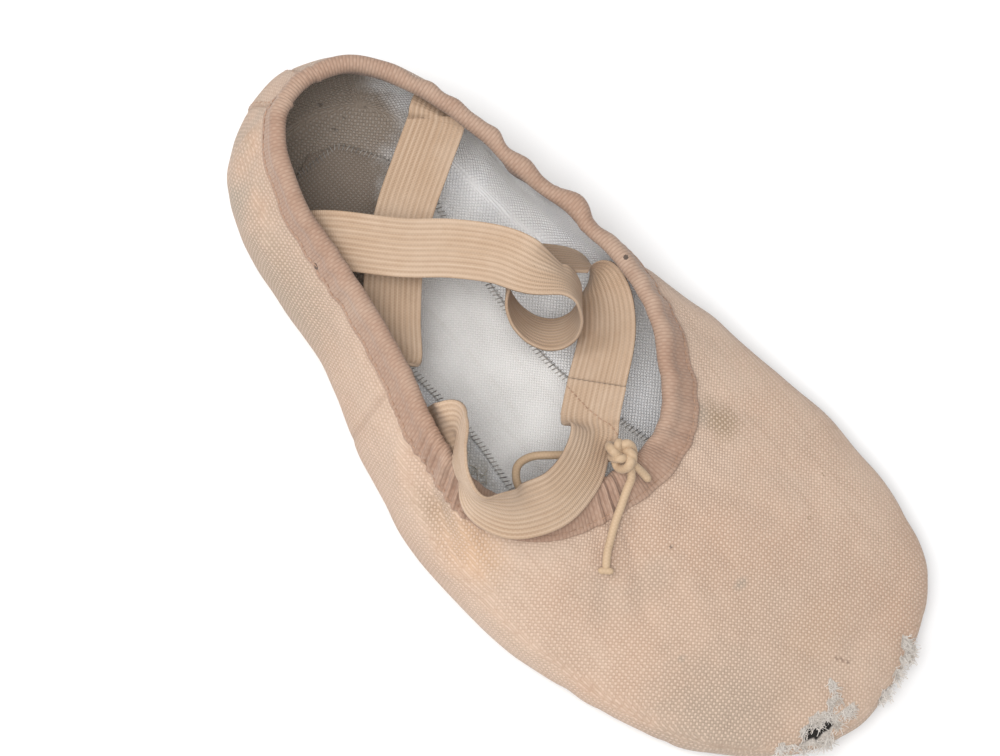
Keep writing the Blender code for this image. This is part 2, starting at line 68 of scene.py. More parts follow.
def view_axes(azimuth, elevation, roll):
    """The picture's right and up directions, and the way back to the camera."""
    flat = math.cos(elevation)
    ahead = np.array([-math.sin(azimuth) * flat, math.cos(azimuth) * flat, -math.sin(elevation)])
    level = np.array([math.cos(azimuth), math.sin(azimuth), 0.0])
    above = np.cross(level, ahead)
    right = level * math.cos(roll) + above * math.sin(roll)
    up = above * math.cos(roll) - level * math.sin(roll)
    return right, up, -ahead


def standing_at(place, right, up, back):
    """Puts an object at a place, turned to three axes of its own."""
    return Matrix.Translation(place) @ Matrix(np.stack([right, up, back], axis=1).tolist()).to_4x4()


right, up, back = view_axes(VIEW_AZIMUTH, VIEW_ELEVATION, VIEW_ROLL)
across = (PHOTO_WIDTH / 2 - LOOK_PIXEL[0]) / PIXELS_PER_METRE
above = (LOOK_PIXEL[1] - PHOTO_HEIGHT / 2) / PIXELS_PER_METRE
eye = LOOK_POINT + back * CAMERA_DISTANCE + right * across + up * above
camera = bpy.data.objects.new("camera", bpy.data.cameras.new("camera"))
camera.matrix_world = standing_at(eye, right, up, back)
camera.data.sensor_width = SENSOR_WIDTH
camera.data.lens = PIXELS_PER_METRE * CAMERA_DISTANCE * SENSOR_WIDTH / PHOTO_WIDTH
camera.data.clip_start, camera.data.clip_end = 0.01, 20.0
bpy.context.scene.collection.objects.link(camera)
bpy.context.scene.camera = camera
print("lens", round(camera.data.lens, 1), "mm")

# %% [markdown]
# ## Small helpers for node trees
#
# Shader groups and Geometry Nodes trees are both wired in the script. One helper adds a node and sets
# or links its inputs, and the others cover the arithmetic that comes back in each of them.

# %% Helpers that wire nodes
def wire(tree, value, socket):
    """Links an output to the socket, or sets the socket to a plain value."""
    if isinstance(value, bpy.types.NodeSocket):
        tree.links.new(value, socket)
    else:
        socket.default_value = value


def add(tree, kind, inputs=None, **settings):
    """Adds a node with its settings, and fills its inputs by name or by number."""
    made = tree.nodes.new(kind)
    for key, value in settings.items():
        setattr(made, key, value)
    for key, value in (inputs or {}).items():
        wire(tree, value, made.inputs[key])
    return made


def calc(tree, operation, *values):
    """One arithmetic step on numbers."""
    return add(tree, "ShaderNodeMath", dict(enumerate(values)), operation=operation).outputs[0]


def vector(tree, operation, *values):
    """One arithmetic step on vectors."""
    made = add(tree, "ShaderNodeVectorMath", dict(enumerate(values)), operation=operation)
    return made.outputs["Value"] if operation == "LENGTH" else made.outputs[0]


def fade(tree, value, start, end):
    """Turns a value into a soft mask, 0 at start and 1 at end."""
    inputs = {"Value": value, "From Min": start, "From Max": end}
    return add(tree, "ShaderNodeMapRange", inputs, interpolation_type="SMOOTHSTEP").outputs["Result"]


def tint(tree, share, first, second, blend="MIX"):
    """Mixes two colours by a share."""
    made = add(tree, "ShaderNodeMix", data_type="RGBA", blend_type=blend)
    wire(tree, share, made.inputs["Factor"])
    wire(tree, (*first, 1) if isinstance(first, tuple) else first, made.inputs["A"])
    wire(tree, (*second, 1) if isinstance(second, tuple) else second, made.inputs["B"])
    return made.outputs["Result"]


def layer(tree, colour, mask, shade, strength, blend="MIX"):
    """Lays a second colour on the first where a mask is, at a strength."""
    return tint(tree, calc(tree, "MULTIPLY", mask, strength), colour, shade, blend)


def noise(tree, place, scale, detail=3.0, rough=0.55):
    """Cloudy values from 0 to 1, with so many hills to a metre."""
    inputs = {"Vector": place, "Scale": scale, "Detail": detail, "Roughness": rough}
    return add(tree, "ShaderNodeTexNoise", inputs).outputs["Fac"]


def split(tree, value):
    """The three numbers of a vector."""
    return list(add(tree, "ShaderNodeSeparateXYZ", {0: value}).outputs)


def joined(tree, *numbers):
    """A vector made of three numbers."""
    return add(tree, "ShaderNodeCombineXYZ", dict(enumerate(numbers))).outputs[0]


def summed(tree, numbers):
    """The sum of a few numbers."""
    total = numbers[0]
    for number in numbers[1:]:
        total = calc(tree, "ADD", total, number)
    return total


def painted_on(tree, label):
    """The values that a mesh carries in an attribute."""
    return add(tree, "ShaderNodeAttribute", attribute_name=label).outputs["Fac"]


def new_group(name, inputs, outputs, kind="ShaderNodeTree"):
    """A node group with named inputs and outputs, and the two ends that its nodes are wired between."""
    tree = bpy.data.node_groups.new(name, kind)
    for label, socket_type, value in inputs:
        socket = tree.interface.new_socket(name=label, in_out="INPUT", socket_type=socket_type)
        if value is not None:
            socket.default_value = value
    for label, socket_type in outputs:
        tree.interface.new_socket(name=label, in_out="OUTPUT", socket_type=socket_type)
    return tree, tree.nodes.new("NodeGroupInput").outputs, tree.nodes.new("NodeGroupOutput").inputs


def use(tree, group, **inputs):
    """Places a group in a tree. Its inputs are given by name, with _ for each space."""
    made = add(tree, "ShaderNodeGroup", node_tree=group)
    for key, value in inputs.items():
        wire(tree, value, made.inputs[key.replace("_", " ")])
    return made.outputs


# %% [markdown]
# ## Shared effects
#
# A few effects come back on nearly every piece. Woven cloth shows pale dots where a thread passes over,
# which are painted highlights, and painted shade in the gaps between threads; a tape or a cord shows fine
# ribs with painted highlights on them, and all of them have smudges, specks and uneven dirt. Each one is
# a group, so that a finish is put together from a few of them with its own numbers. The weave is laid
# on from three sides and blended by the way the surface faces, because cloth has the same threads
# everywhere and this needs no unwrapping. The canvas is cut on the bias, so its threads cross at a slant
# to the foot's length and the dots line up along and across it.

# %% Group: plain weave
FLOAT, VECTOR = "NodeSocketFloat", "NodeSocketVector"
weave, given, gives = new_group(
    "plain_weave",
    [("Place", VECTOR, None), ("Facing", VECTOR, None), ("Pitch", FLOAT, 0.00112),
     ("Unevenness", FLOAT, 0.45)],
    [("Height", FLOAT), ("Dots", FLOAT), ("Threads", FLOAT)],
)
wander = add(weave, "ShaderNodeTexNoise", {"Vector": given["Place"], "Scale": 260.0, "Detail": 1.0})
swing = vector(weave, "SUBTRACT", wander.outputs["Color"], (0.5, 0.5, 0.5))
counted = vector(weave, "DIVIDE", given["Place"], joined(weave, *[given["Pitch"]] * 3))
swayed = add(weave, "ShaderNodeVectorMath", {0: swing, "Scale": given["Unevenness"]}, operation="SCALE")
turns = vector(weave, "MULTIPLY", vector(weave, "ADD", counted, swayed.outputs[0]), (math.tau,) * 3)
waves = [calc(weave, "MULTIPLY", calc(weave, "COSINE", turn), 0.5) for turn in split(weave, turns)]
facing = split(weave, vector(weave, "ABSOLUTE", given["Facing"]))
weights = [calc(weave, "POWER", share, 5.0) for share in facing]
total = summed(weave, weights)
sides = []
for axis in range(3):
    crossing = calc(weave, "SUBTRACT", waves[(axis + 1) % 3], waves[(axis + 2) % 3])
    sides.append(calc(weave, "MULTIPLY", crossing, calc(weave, "DIVIDE", weights[axis], total)))
crossing = summed(weave, sides)
wire(weave, calc(weave, "SQRT", calc(weave, "ABSOLUTE", crossing)), gives["Height"])
# Highlights is a painted highlight on the tops of the threads where they cross, made uneven by noise.
uneven_highlights = calc(weave, "MULTIPLY_ADD", noise(weave, given["Place"], scale=1100.0, detail=1.0), 1.2, -0.6)
wire(weave, fade(weave, calc(weave, "ADD", crossing, uneven_highlights), -0.3, 0.9), gives["Dots"])
streaks = vector(weave, "MULTIPLY", given["Place"], (1.0, 0.06, 1.0))
wire(weave, noise(weave, streaks, scale=700.0, detail=1.0), gives["Threads"])

# %% Group: ribs that follow a piece's own map
ribs, given, gives = new_group(
    "fine_ribs",
    [("Map", VECTOR, None), ("Along", FLOAT, 0.0006), ("Across", FLOAT, 0.0008)],
    [("Height", FLOAT), ("Dots", FLOAT)],
)
part = split(ribs, given["Map"])
along, over = [
    calc(ribs, "SINE", calc(ribs, "MULTIPLY", calc(ribs, "DIVIDE", part[axis], given[pitch]), math.pi))
    for axis, pitch in ((0, "Along"), (1, "Across"))
]
wire(ribs, calc(ribs, "ABSOLUTE", along), gives["Height"])
# Highlights is a painted highlight on the tops of the ribs.
wire(ribs, fade(ribs, calc(ribs, "MULTIPLY", along, over), -0.4, 0.8), gives["Dots"])

# %% Group: a smudge with a ragged edge
smudge, given, gives = new_group(
    "smudge",
    [("Place", VECTOR, None), ("Centre", VECTOR, None), ("Size", VECTOR, (0.01, 0.01, 0.01)),
     ("Ragged", FLOAT, 0.7), ("Grain", FLOAT, 220.0)],
    [("Mask", FLOAT)],
)
offset = vector(smudge, "SUBTRACT", given["Place"], given["Centre"])
offset = vector(smudge, "LENGTH", vector(smudge, "DIVIDE", offset, given["Size"]))
patchy = calc(smudge, "SUBTRACT", noise(smudge, given["Place"], given["Grain"], 5.0, 0.65), 0.5)
edge = calc(smudge, "ADD", offset, calc(smudge, "MULTIPLY", patchy, given["Ragged"]))
wire(smudge, fade(smudge, edge, 1.0, 0.15), gives["Mask"])

# %% Group: scattered specks
specks, given, gives = new_group(
    "specks",
    [("Place", VECTOR, None), ("Scale", FLOAT, 150.0), ("Size", FLOAT, 0.12), ("Share", FLOAT, 0.4)],
    [("Mask", FLOAT)],
)
shaken = add(specks, "ShaderNodeTexNoise", {"Vector": given["Place"], "Scale": 900.0}).outputs["Color"]
bent = vector(specks, "ADD", given["Place"], vector(specks, "MULTIPLY", shaken, (0.002,) * 3))
cells = add(specks, "ShaderNodeTexVoronoi", {"Vector": bent, "Scale": given["Scale"]}).outputs
chosen = split(specks, cells["Color"])
reach = calc(specks, "MULTIPLY", given["Size"], calc(specks, "ADD", chosen[1], 0.3))
spot = calc(specks, "LESS_THAN", cells["Distance"], reach)
kept = calc(specks, "LESS_THAN", chosen[0], given["Share"])
wire(specks, calc(specks, "MULTIPLY", spot, kept), gives["Mask"])

# %% Group: uneven dirt
grime, given, gives = new_group(
    "grime",
    [("Place", VECTOR, None), ("Scale", FLOAT, 60.0), ("From", FLOAT, 0.45), ("To", FLOAT, 0.7)],
    [("Mask", FLOAT)],
)
cloudy = noise(grime, given["Place"], given["Scale"], 6.0, 0.62)
wire(grime, fade(grime, cloudy, given["From"], given["To"]), gives["Mask"])

# %% Group: the heel's dark dirt and painted shade, which both the lining and the insole carry
heel_dirt_and_shade, given, gives = new_group("heel_dirt_and_shade", [("Place", VECTOR, None)], [("Mask", FLOAT)])
slanted = vector(heel_dirt_and_shade, "MULTIPLY", given["Place"], (-0.91, 1.0, 1.2))
ahead = summed(heel_dirt_and_shade, split(heel_dirt_and_shade, slanted))
wander = noise(heel_dirt_and_shade, given["Place"], scale=60.0, detail=4.0)
drift = calc(heel_dirt_and_shade, "MULTIPLY_ADD", wander, 0.05, -0.025)
wire(heel_dirt_and_shade, fade(heel_dirt_and_shade, calc(heel_dirt_and_shade, "ADD", ahead, drift), -0.052, -0.078), gives["Mask"])
print("shared effects:", ", ".join(g.name for g in (weave, ribs, smudge, specks, grime, heel_dirt_and_shade)))

# %% [markdown]
# ## Finishes
#
# Each finish is one material: its colours from the groups above go to Base Color, and its threads and
# ribs go through a Bump node to Normal. A number that is the same all over, such as the roughness of
# cotton, is set straight on the shader.

# %% Helpers for materials
def new_finish(name, roughness, sheen=0.0):
    """A material, its tree, and what a pattern can follow: place, facing and the piece's own map."""
    made = bpy.data.materials.new(name)
    made.use_nodes = True
    tree = made.node_tree
    shader = tree.nodes["Principled BSDF"].inputs
    shader["Roughness"].default_value = roughness
    shader["Specular IOR Level"].default_value = 0.25
    shader["Sheen Weight"].default_value = sheen
    coordinates = tree.nodes.new("ShaderNodeTexCoord").outputs
    facing = tree.nodes.new("ShaderNodeNewGeometry").outputs["Normal"]
    return made, tree, {"Place": coordinates["Object"], "Facing": facing, "Map": coordinates["UV"]}


def complete(tree, colour, height, depth, strength):
    """Wires a finish's colour and its relief: a height from 0 to 1, and its real depth in metres."""
    shader = tree.nodes["Principled BSDF"].inputs
    wire(tree, colour, shader["Base Color"])
    bump = add(tree, "ShaderNodeBump", {"Height": height, "Distance": depth, "Strength": strength})
    wire(tree, bump.outputs[0], shader["Normal"])


def clouds(tree, place, scale, start, end):
    """Soft uneven patches as a mask."""
    return use(tree, grime, Place=place, Scale=scale, From=start, To=end)["Mask"]


def specked(tree, place, colour, shade, scale, size, share, strength):
    """Lays small specks on a colour."""
    spots = use(tree, specks, Place=place, Scale=scale, Size=size, Share=share)["Mask"]
    return layer(tree, colour, spots, shade, strength)


def smudged(tree, place, colour, stains):
    """Lays smudges on a colour, each with its place and size in millimetres, colour and strength."""
    for centre_mm, size_mm, shade, strength, ragged in stains:
        at, size = (tuple(MM * v for v in sizes) for sizes in (centre_mm, size_mm))
        mask = use(tree, smudge, Place=place, Centre=at, Size=size, Ragged=ragged)["Mask"]
        colour = layer(tree, colour, mask, shade, strength)
    return colour


# %% Finish: drawstring cord
CORD_CREAM, CORD_SHADE, CORD_GLINT = (0.47, 0.335, 0.215), (0.29, 0.19, 0.115), (0.60, 0.44, 0.30)
cord_finish, tree, given = new_finish("cream_cord", roughness=0.6, sheen=0.15)
thread = use(tree, ribs, Map=given["Map"], Along=0.0005, Across=0.0009)
shaded = clouds(tree, given["Place"], scale=240.0, start=0.45, end=0.7)
colour = layer(tree, CORD_CREAM, shaded, CORD_SHADE, strength=0.40)
colour = layer(tree, colour, thread["Dots"], CORD_GLINT, strength=0.25)
complete(tree, colour, thread["Height"], depth=0.04 * MM, strength=0.4)

# %% [markdown]
# ## The drawstring
#
# A round elastic cord runs inside the collar's tape and comes out at the throat, where its two ends
# are knotted. One end is long, with a flat melted tip, and one is a short stub. Inside the slipper
# the cord's loop lies loose. Cords are skinned as tubes along a route, because a tube can carry
# its own map for the braid. The knot is one tube too, wound as an overhand knot winds.

# %% Helpers that make curves and skins
def run_along(path):
    """How far along a path each of its points lies."""
    return np.concatenate([[0], np.cumsum(np.linalg.norm(np.diff(path, axis=0), axis=1))])


SPAN_STEPS = 40


def open_spline(points, steps):
    """Samples a smooth curve through the rows of points at even steps of its length."""
    points = np.array(points, dtype=float)
    padded = np.vstack([2 * points[0] - points[1], points, 2 * points[-1] - points[-2]])
    fine = []
    for k in range(len(points) - 1):
        p0, p1, p2, p3 = padded[k : k + 4]
        t = np.linspace(0, 1, SPAN_STEPS, endpoint=False)[:, None]
        fine.append(
            0.5 * (2 * p1 + (p2 - p0) * t + (2 * p0 - 5 * p1 + 4 * p2 - p3) * t**2
                   + (3 * p1 - p0 - 3 * p2 + p3) * t**3)
        )
    fine = np.vstack([*fine, points[-1:]])
    run = run_along(fine[:, :3])
    want = np.linspace(0, run[-1], steps + 1)
    return np.stack([np.interp(want, run, fine[:, c]) for c in range(fine.shape[1])], axis=1)


def unit(rows):
    """Each row shortened or lengthened to a length of 1."""
    return rows / np.maximum(np.linalg.norm(rows, axis=-1, keepdims=True), 1e-12)


def carry(mesh, label, values, kind="FLOAT"):
    """Puts a value, or a direction, for each point into an attribute of the mesh."""
    data = mesh.attributes.new(label, kind, "POINT").data
    data.foreach_set("value" if kind == "FLOAT" else "vector", np.asarray(values, dtype=np.float32).ravel())


def new_piece(name, mesh, slot, *nodes):
    """Puts a finished mesh in the scene, riding on the slipper. Its slot is not used."""
    piece = bpy.data.objects.new(name, mesh)
    bpy.context.scene.collection.objects.link(piece)
    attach(piece, "root")
    if nodes:
        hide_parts(*nodes)
    return piece


def skin(name, rings, paint, loop=False, along=None, around=None):
    """Skins rings of points. Each ring is closed, and loop also joins the last ring to the first.

    The piece's own map holds metres along and metres around, so a pattern keeps its size on it.
    """
    n, m = rings.shape[:2]
    i, j = np.meshgrid(np.arange(n if loop else n - 1), np.arange(m), indexing="ij")
    corners_i = np.stack([i, i, i + 1, i + 1], axis=-1).reshape(-1, 4)
    corners_j = np.stack([j, j + 1, j + 1, j], axis=-1).reshape(-1, 4)
    quads = (corners_i % n) * m + corners_j % m
    faces = quads.tolist()
    if not loop:
        faces += [list(range(m))[::-1], list(range((n - 1) * m, n * m))]
    mesh = bpy.data.meshes.new(name)
    mesh.from_pydata(rings.reshape(-1, 3).tolist(), [], faces)
    if along is not None:
        table = np.zeros((len(mesh.loops), 2))
        table[: quads.size, 0] = np.asarray(along)[corners_i].ravel()
        table[: quads.size, 1] = np.asarray(around)[corners_j].ravel()
        mesh.uv_layers.new(name="own_map").data.foreach_set("uv", table.ravel())
    mesh.shade_smooth()
    mesh.materials.append(paint)
    return mesh


def tube_rings(path, radius, sides=16, loop=False):
    """Rings of points around a path, each turned as little as possible from the one before."""
    if loop:
        ahead = unit(np.roll(path, -1, axis=0) - np.roll(path, 1, axis=0))
    else:
        ahead = unit(np.gradient(path, axis=0))
    side = [unit(np.cross(ahead[0], (0.3, 0.2, 0.9)))]
    for way in ahead[1:]:
        side.append(unit(side[-1] - way * (side[-1] @ way)))
    side = np.array(side)
    if loop:
        closing = unit(side[-1] - ahead[0] * (side[-1] @ ahead[0]))
        slip = math.atan2(np.cross(closing, side[0]) @ ahead[0], closing @ side[0])
        turn = np.linspace(0, slip, len(path), endpoint=False)[:, None]
        side = side * np.cos(turn) + np.cross(ahead, side) * np.sin(turn)
    other = np.cross(ahead, side)
    angle = np.linspace(0, math.tau, sides, endpoint=False)
    circle = side[:, None] * np.cos(angle)[:, None] + other[:, None] * np.sin(angle)[:, None]
    return path[:, None] + circle * np.broadcast_to(radius, len(path))[:, None, None]


def tube(name, path, radius, paint, sides=16, loop=False):
    """A round skin around a path."""
    run = run_along(path)
    run = np.append(run, run[-1] + np.linalg.norm(path[0] - path[-1]))
    around = np.linspace(0, math.tau * float(np.max(radius)), sides + 1)
    return skin(name, tube_rings(path, radius, sides, loop), paint, loop, run, around)


# %% Loop, ends and knot
CORD = 2.3 * MM
KNOT_AT = (0.0027, 0.0246, 0.0428)
LOOP_ROUTE = (
    KNOT_AT,
    (0.0029, 0.0242, 0.0384),
    (0.0034, 0.0226, 0.0353),
    (0.0052, 0.0196, 0.0330),
    (0.0088, 0.0155, 0.0308),
    (0.0132, 0.0114, 0.0292),
    (0.0180, 0.0076, 0.0282),
    (0.0226, 0.0070, 0.0286),
    (0.0258, 0.0096, 0.0298),
    (0.0276, 0.0134, 0.0312),
    (0.0292, 0.0180, 0.0326),
)
LONG_END_ROUTE = (
    KNOT_AT,
    (0.0032, 0.0286, 0.0421),
    (0.0045, 0.0308, 0.0410),
    (0.0058, 0.0316, 0.0400),
    (0.0075, 0.0325, 0.0390),
    (0.0110, 0.0346, 0.0376),
    (0.0143, 0.0365, 0.0359),
    (0.0185, 0.0394, 0.0340),
    (0.0215, 0.0417, 0.0329),
    (0.0245, 0.0448, 0.0321),
)
SHORT_END_ROUTE = (
    KNOT_AT,
    (0.0016, 0.0290, 0.0413),
    (0.0008, 0.0318, 0.0395),
    (0.0006, 0.0345, 0.0385),
)
KNOT_HALF = np.array([4.4, 5.4, 3.9]) * MM
KNOT_STRAND = 1.3 * MM
KNOT_STEPS = 160
SECOND_STRAND_SIZE = np.array([0.78, 0.82, 1.12])
TIP_HALF, TIP_THICK, TIP_STEPS = 2.2 * MM, 2.0 * MM, 15


def rounded(count, thickness):
    """Radii along a cord whose two ends are rounded off."""
    share = np.linspace(0, 1, count)
    close = np.minimum(share, 1 - share) * count / 4
    return thickness / 2 * np.sqrt(np.clip(close * (2 - close), 0.02, 1) * (close < 1) + (close >= 1))


def knot_path(turned, size):
    """An overhand knot's winding, closed, turned about the upright, at a share of the knot's size."""
    t = np.linspace(0, math.tau, KNOT_STEPS, endpoint=False)
    x, y = np.sin(t) + 2 * np.sin(2 * t), np.cos(t) - 2 * np.cos(2 * t)
    path = np.stack([
        x * math.cos(turned) - y * math.sin(turned),
        x * math.sin(turned) + y * math.cos(turned),
        -1.6 * np.sin(3 * t),
    ], axis=1)
    return path / np.abs(path).max(axis=0) * (KNOT_HALF - KNOT_STRAND) * size + KNOT_AT


def cord_piece(name, path, thickness, *nodes, closed=False):
    """One piece of the drawstring. An open one has rounded ends, and a closed one is even all round."""
    radius = thickness / 2 if closed else rounded(len(path), thickness)
    return new_piece(name, tube(name, path, radius, cord_finish, loop=closed), "drawstring", *nodes)


loop_path = open_spline(LOOP_ROUTE, 70)
long_path = open_spline(LONG_END_ROUTE, 70)
short_path = open_spline(SHORT_END_ROUTE, 30)
cord_loop = cord_piece("drawstring_loop", loop_path, CORD, "cord_loop")
long_end = cord_piece("drawstring_long_end", long_path, CORD, "cord_long_end")
short_end = cord_piece("drawstring_short_end", short_path, CORD, "cord_short_end")
first_winding = knot_path(turned=0.35, size=1.0)
second_winding = knot_path(turned=1.35, size=SECOND_STRAND_SIZE)
knot = cord_piece("drawstring_knot", first_winding, 2 * KNOT_STRAND, "cord_knot", closed=True)
second_strand = cord_piece("knot_second_strand", second_winding, CORD, closed=True)
last_way = unit(long_path[-1] - long_path[-4])
tip_way = unit(np.cross(last_way, (0.2, 0.15, 0.97)))
tip_path = long_path[-1] + np.linspace(-TIP_HALF, TIP_HALF, TIP_STEPS)[:, None] * tip_way
melted_tip = cord_piece("melted_tip", tip_path, TIP_THICK)

# %% [markdown]
# ## The slipper's form
#
# The upper is one piece of canvas pulled over a last. Its form follows from two closed curves, the
# outline near the floor and the collar, and a wall swept between them. The sizes are the packed
# model's own, so every piece that is laid on the wall finds it where the solids are.

# %% Sizes and sections of the canvas
LENGTH = 240 * MM
BALL_WIDTH = 106 * MM
HEEL_WIDTH = 72 * MM
HEEL_HEIGHT = 54 * MM
SIDE_HEIGHT = 47 * MM
THROAT_HEIGHT = 36 * MM
COLLAR_BACK = 11 * MM
THROAT_AT = 148 * MM
FOREFOOT_SWING = -9 * MM
WIDEST_HEIGHT = 13 * MM
ARCH_RISE = 3.0 * MM
CANVAS = 1.4 * MM
TUCK = 11 * MM
SUEDE_PROUD = 0.8 * MM
SECTIONS = (
    # out_y, out_lat, out_med, widest, col_y, col_lat, col_med, col_z, lean
    (0.000, 0.00, 0.00, 1.9, 0.000, 0.00, 0.00, HEEL_HEIGHT, 4),
    (0.018, 0.46, 0.46, 1.9, 0.025, 0.34, 0.34, HEEL_HEIGHT * 0.995, 5),
    (0.070, 0.83, 0.83, 1.8, 0.110, 0.58, 0.60, HEEL_HEIGHT * 0.97, 8),
    (0.160, 1.02, 1.00, 1.5, 0.250, 0.72, 0.78, HEEL_HEIGHT * 0.93, 14),
    (0.270, 1.06, 1.00, 1.3, 0.420, 0.74, 0.86, SIDE_HEIGHT * 1.03, 18),
    (0.390, 1.10, 0.98, 1.2, 0.600, 0.76, 0.84, SIDE_HEIGHT * 0.98, 24),
    (0.510, 1.11, 1.00, 1.1, 0.760, 0.79, 0.72, SIDE_HEIGHT * 0.91, 34),
    (0.630, 1.08, 1.02, 1.0, 0.880, 0.70, 0.53, THROAT_HEIGHT * 1.07, 46),
    (0.750, 1.00, 1.03, 1.0, 0.955, 0.51, 0.36, THROAT_HEIGHT * 1.01, 60),
    (0.860, 0.84, 0.95, 1.0, 0.988, 0.29, 0.21, THROAT_HEIGHT, 70),
    (0.950, 0.53, 0.66, 1.0, 0.998, 0.11, 0.09, THROAT_HEIGHT, 75),
    (1.000, 0.00, 0.00, 1.0, 1.000, 0.00, 0.00, THROAT_HEIGHT, 77),
)
HEEL_END, BALL_START = 0.20, 0.62
COLLAR_REACH, OUTLINE_REACH = 0.42, 0.50


def smooth(t):
    """A soft step from 0 to 1 as t goes from 0 to 1."""
    t = np.clip(t, 0.0, 1.0)
    return t * t * (3 - 2 * t)


def breadth(share):
    """Half the slipper's width at a share of its length."""
    forward = smooth((share - HEEL_END) / (BALL_START - HEEL_END))
    return 0.5 * (HEEL_WIDTH + (BALL_WIDTH - HEEL_WIDTH) * forward)


SWING_START = 0.35
ARCH_FROM, ARCH_TO, ARCH_SOFT = 0.24, 0.62, 0.14


def centre(share):
    """How far the foot's middle line has swung to the inner side at a share of its length."""
    return FOREFOOT_SWING * smooth((share - SWING_START) / (1 - SWING_START))


def floor_height(y):
    """How high the canvas lies under the foot: level at both ends, a little higher in the arch."""
    share = y / LENGTH
    rise, fall = (share - ARCH_FROM) / ARCH_SOFT, (ARCH_TO - share) / ARCH_SOFT
    return SUEDE_PROUD + ARCH_RISE * smooth(rise) * smooth(fall)


# %% Rings of points from the collar down the wall and in under the foot
RING_POSITIONS = 80
COLUMNS = 480
WALL_STEPS, TUCK_STEPS, FLOOR_STEPS = 72, 9, 8
SPINE_START, SPINE_SHARE = 0.10, 0.78


def closed_spline(points, steps):
    """Samples a smooth closed curve through the rows of points, steps samples to a turn."""
    n = len(points)
    knots = np.arange(n)
    turn = np.zeros((n, n))
    turn[knots, knots] = 4
    turn[knots, (knots + 1) % n] = 1
    turn[knots, (knots - 1) % n] = 1
    after, before = np.roll(points, -1, axis=0), np.roll(points, 1, axis=0)
    bend = np.linalg.solve(turn, 6 * (after - 2 * points + before))
    u = np.arange(steps) * n / steps
    k = np.floor(u).astype(int) % n
    t = (u - np.floor(u))[:, None]
    p0, p1, m0, m1 = points[k], points[(k + 1) % n], bend[k], bend[(k + 1) % n]
    return p0 * (1 - t) + p1 * t + m0 * ((1 - t) ** 3 - (1 - t)) / 6 + m1 * (t**3 - t) / 6


def ring_table():
    """The sections as real places: up the outer side to the toe and back down the inner side."""
    rows = [(row, 1, 1) for row in SECTIONS] + [(row, -1, 2) for row in SECTIONS[-2:0:-1]]
    made = []
    for row, side, column in rows:
        out_y, col_y = row[0], row[4]
        collar_y = COLLAR_BACK + (THROAT_AT - COLLAR_BACK) * col_y
        share = collar_y / LENGTH
        made.append((
            centre(out_y) + side * row[column] * breadth(out_y), out_y * LENGTH, row[3] * WIDEST_HEIGHT,
            centre(share) + side * row[column + 4] * breadth(share), collar_y, row[7], row[8],
        ))
    return np.array(made)


def upper_rings(columns, wall_steps, tuck_steps, floor_steps):
    """The canvas's outer face, ring by ring."""
    ring = closed_spline(ring_table(), columns)
    outline, collar = ring[:, 0:3], ring[:, 3:6]
    lean = np.radians(ring[:, 6:7])
    outward = outline - collar
    outward[:, 2] = 0
    outward = unit(outward)
    upward = np.array([0, 0, 1.0])
    reach = np.linalg.norm(outline - collar, axis=1)[:, None]
    drop = (collar - outline)[:, 2:3]
    from_collar = collar + COLLAR_REACH * reach * (np.sin(lean) * outward - np.cos(lean) * upward)
    from_outline = outline + OUTLINE_REACH * drop * upward
    rings = []
    for t in np.linspace(0, 1, wall_steps + 1):
        rings.append(
            (1 - t) ** 3 * collar + 3 * (1 - t) ** 2 * t * from_collar
            + 3 * (1 - t) * t * t * from_outline + t**3 * outline
        )
    along = np.roll(outline, -1, axis=0) - np.roll(outline, 1, axis=0)
    inward = unit(np.stack([-along[:, 1], along[:, 0], 0 * along[:, 0]], axis=1))
    feather = outline + TUCK * inward
    feather[:, 2] = floor_height(feather[:, 1])
    for t in np.linspace(0, math.pi / 2, tuck_steps + 1)[1:]:
        point = outline + (feather - outline) * (1 - math.cos(t))
        point[:, 2] = outline[:, 2] - (outline[:, 2] - feather[:, 2]) * math.sin(t)
        rings.append(point)
    mirrored = np.roll(feather[::-1], 1, axis=0)
    share = SPINE_START + SPINE_SHARE * (feather[:, 1] + mirrored[:, 1]) / 2 / LENGTH
    spine = np.stack([centre(share), share * LENGTH, floor_height(share * LENGTH)], axis=1)
    for t in np.linspace(0, 1, floor_steps + 1)[1:]:
        point = feather + (spine - feather) * t
        point[:, 2] = floor_height(point[:, 1])
        rings.append(point)
    return np.array(rings)


def outward_ways(rings, wall_steps, tuck_steps):
    """The outward direction at each point of the rings, straight down on the floor of the canvas."""
    along = np.roll(rings, -1, axis=1) - np.roll(rings, 1, axis=1)
    face = unit(np.cross(np.gradient(rings, axis=0), along))
    face[wall_steps + tuck_steps :] = (0, 0, -1)
    return face


coarse = upper_rings(RING_POSITIONS, 10, 4, 3)
ORIGIN = np.array([(coarse[:, :, 0].min() + coarse[:, :, 0].max()) / 2, LENGTH / 2, 0.0])
BASE = upper_rings(COLUMNS, WALL_STEPS, TUCK_STEPS, FLOOR_STEPS) - ORIGIN
BASE_OUT = outward_ways(BASE, WALL_STEPS, TUCK_STEPS)
print("canvas rings", BASE.shape, "origin", ORIGIN.round(4))
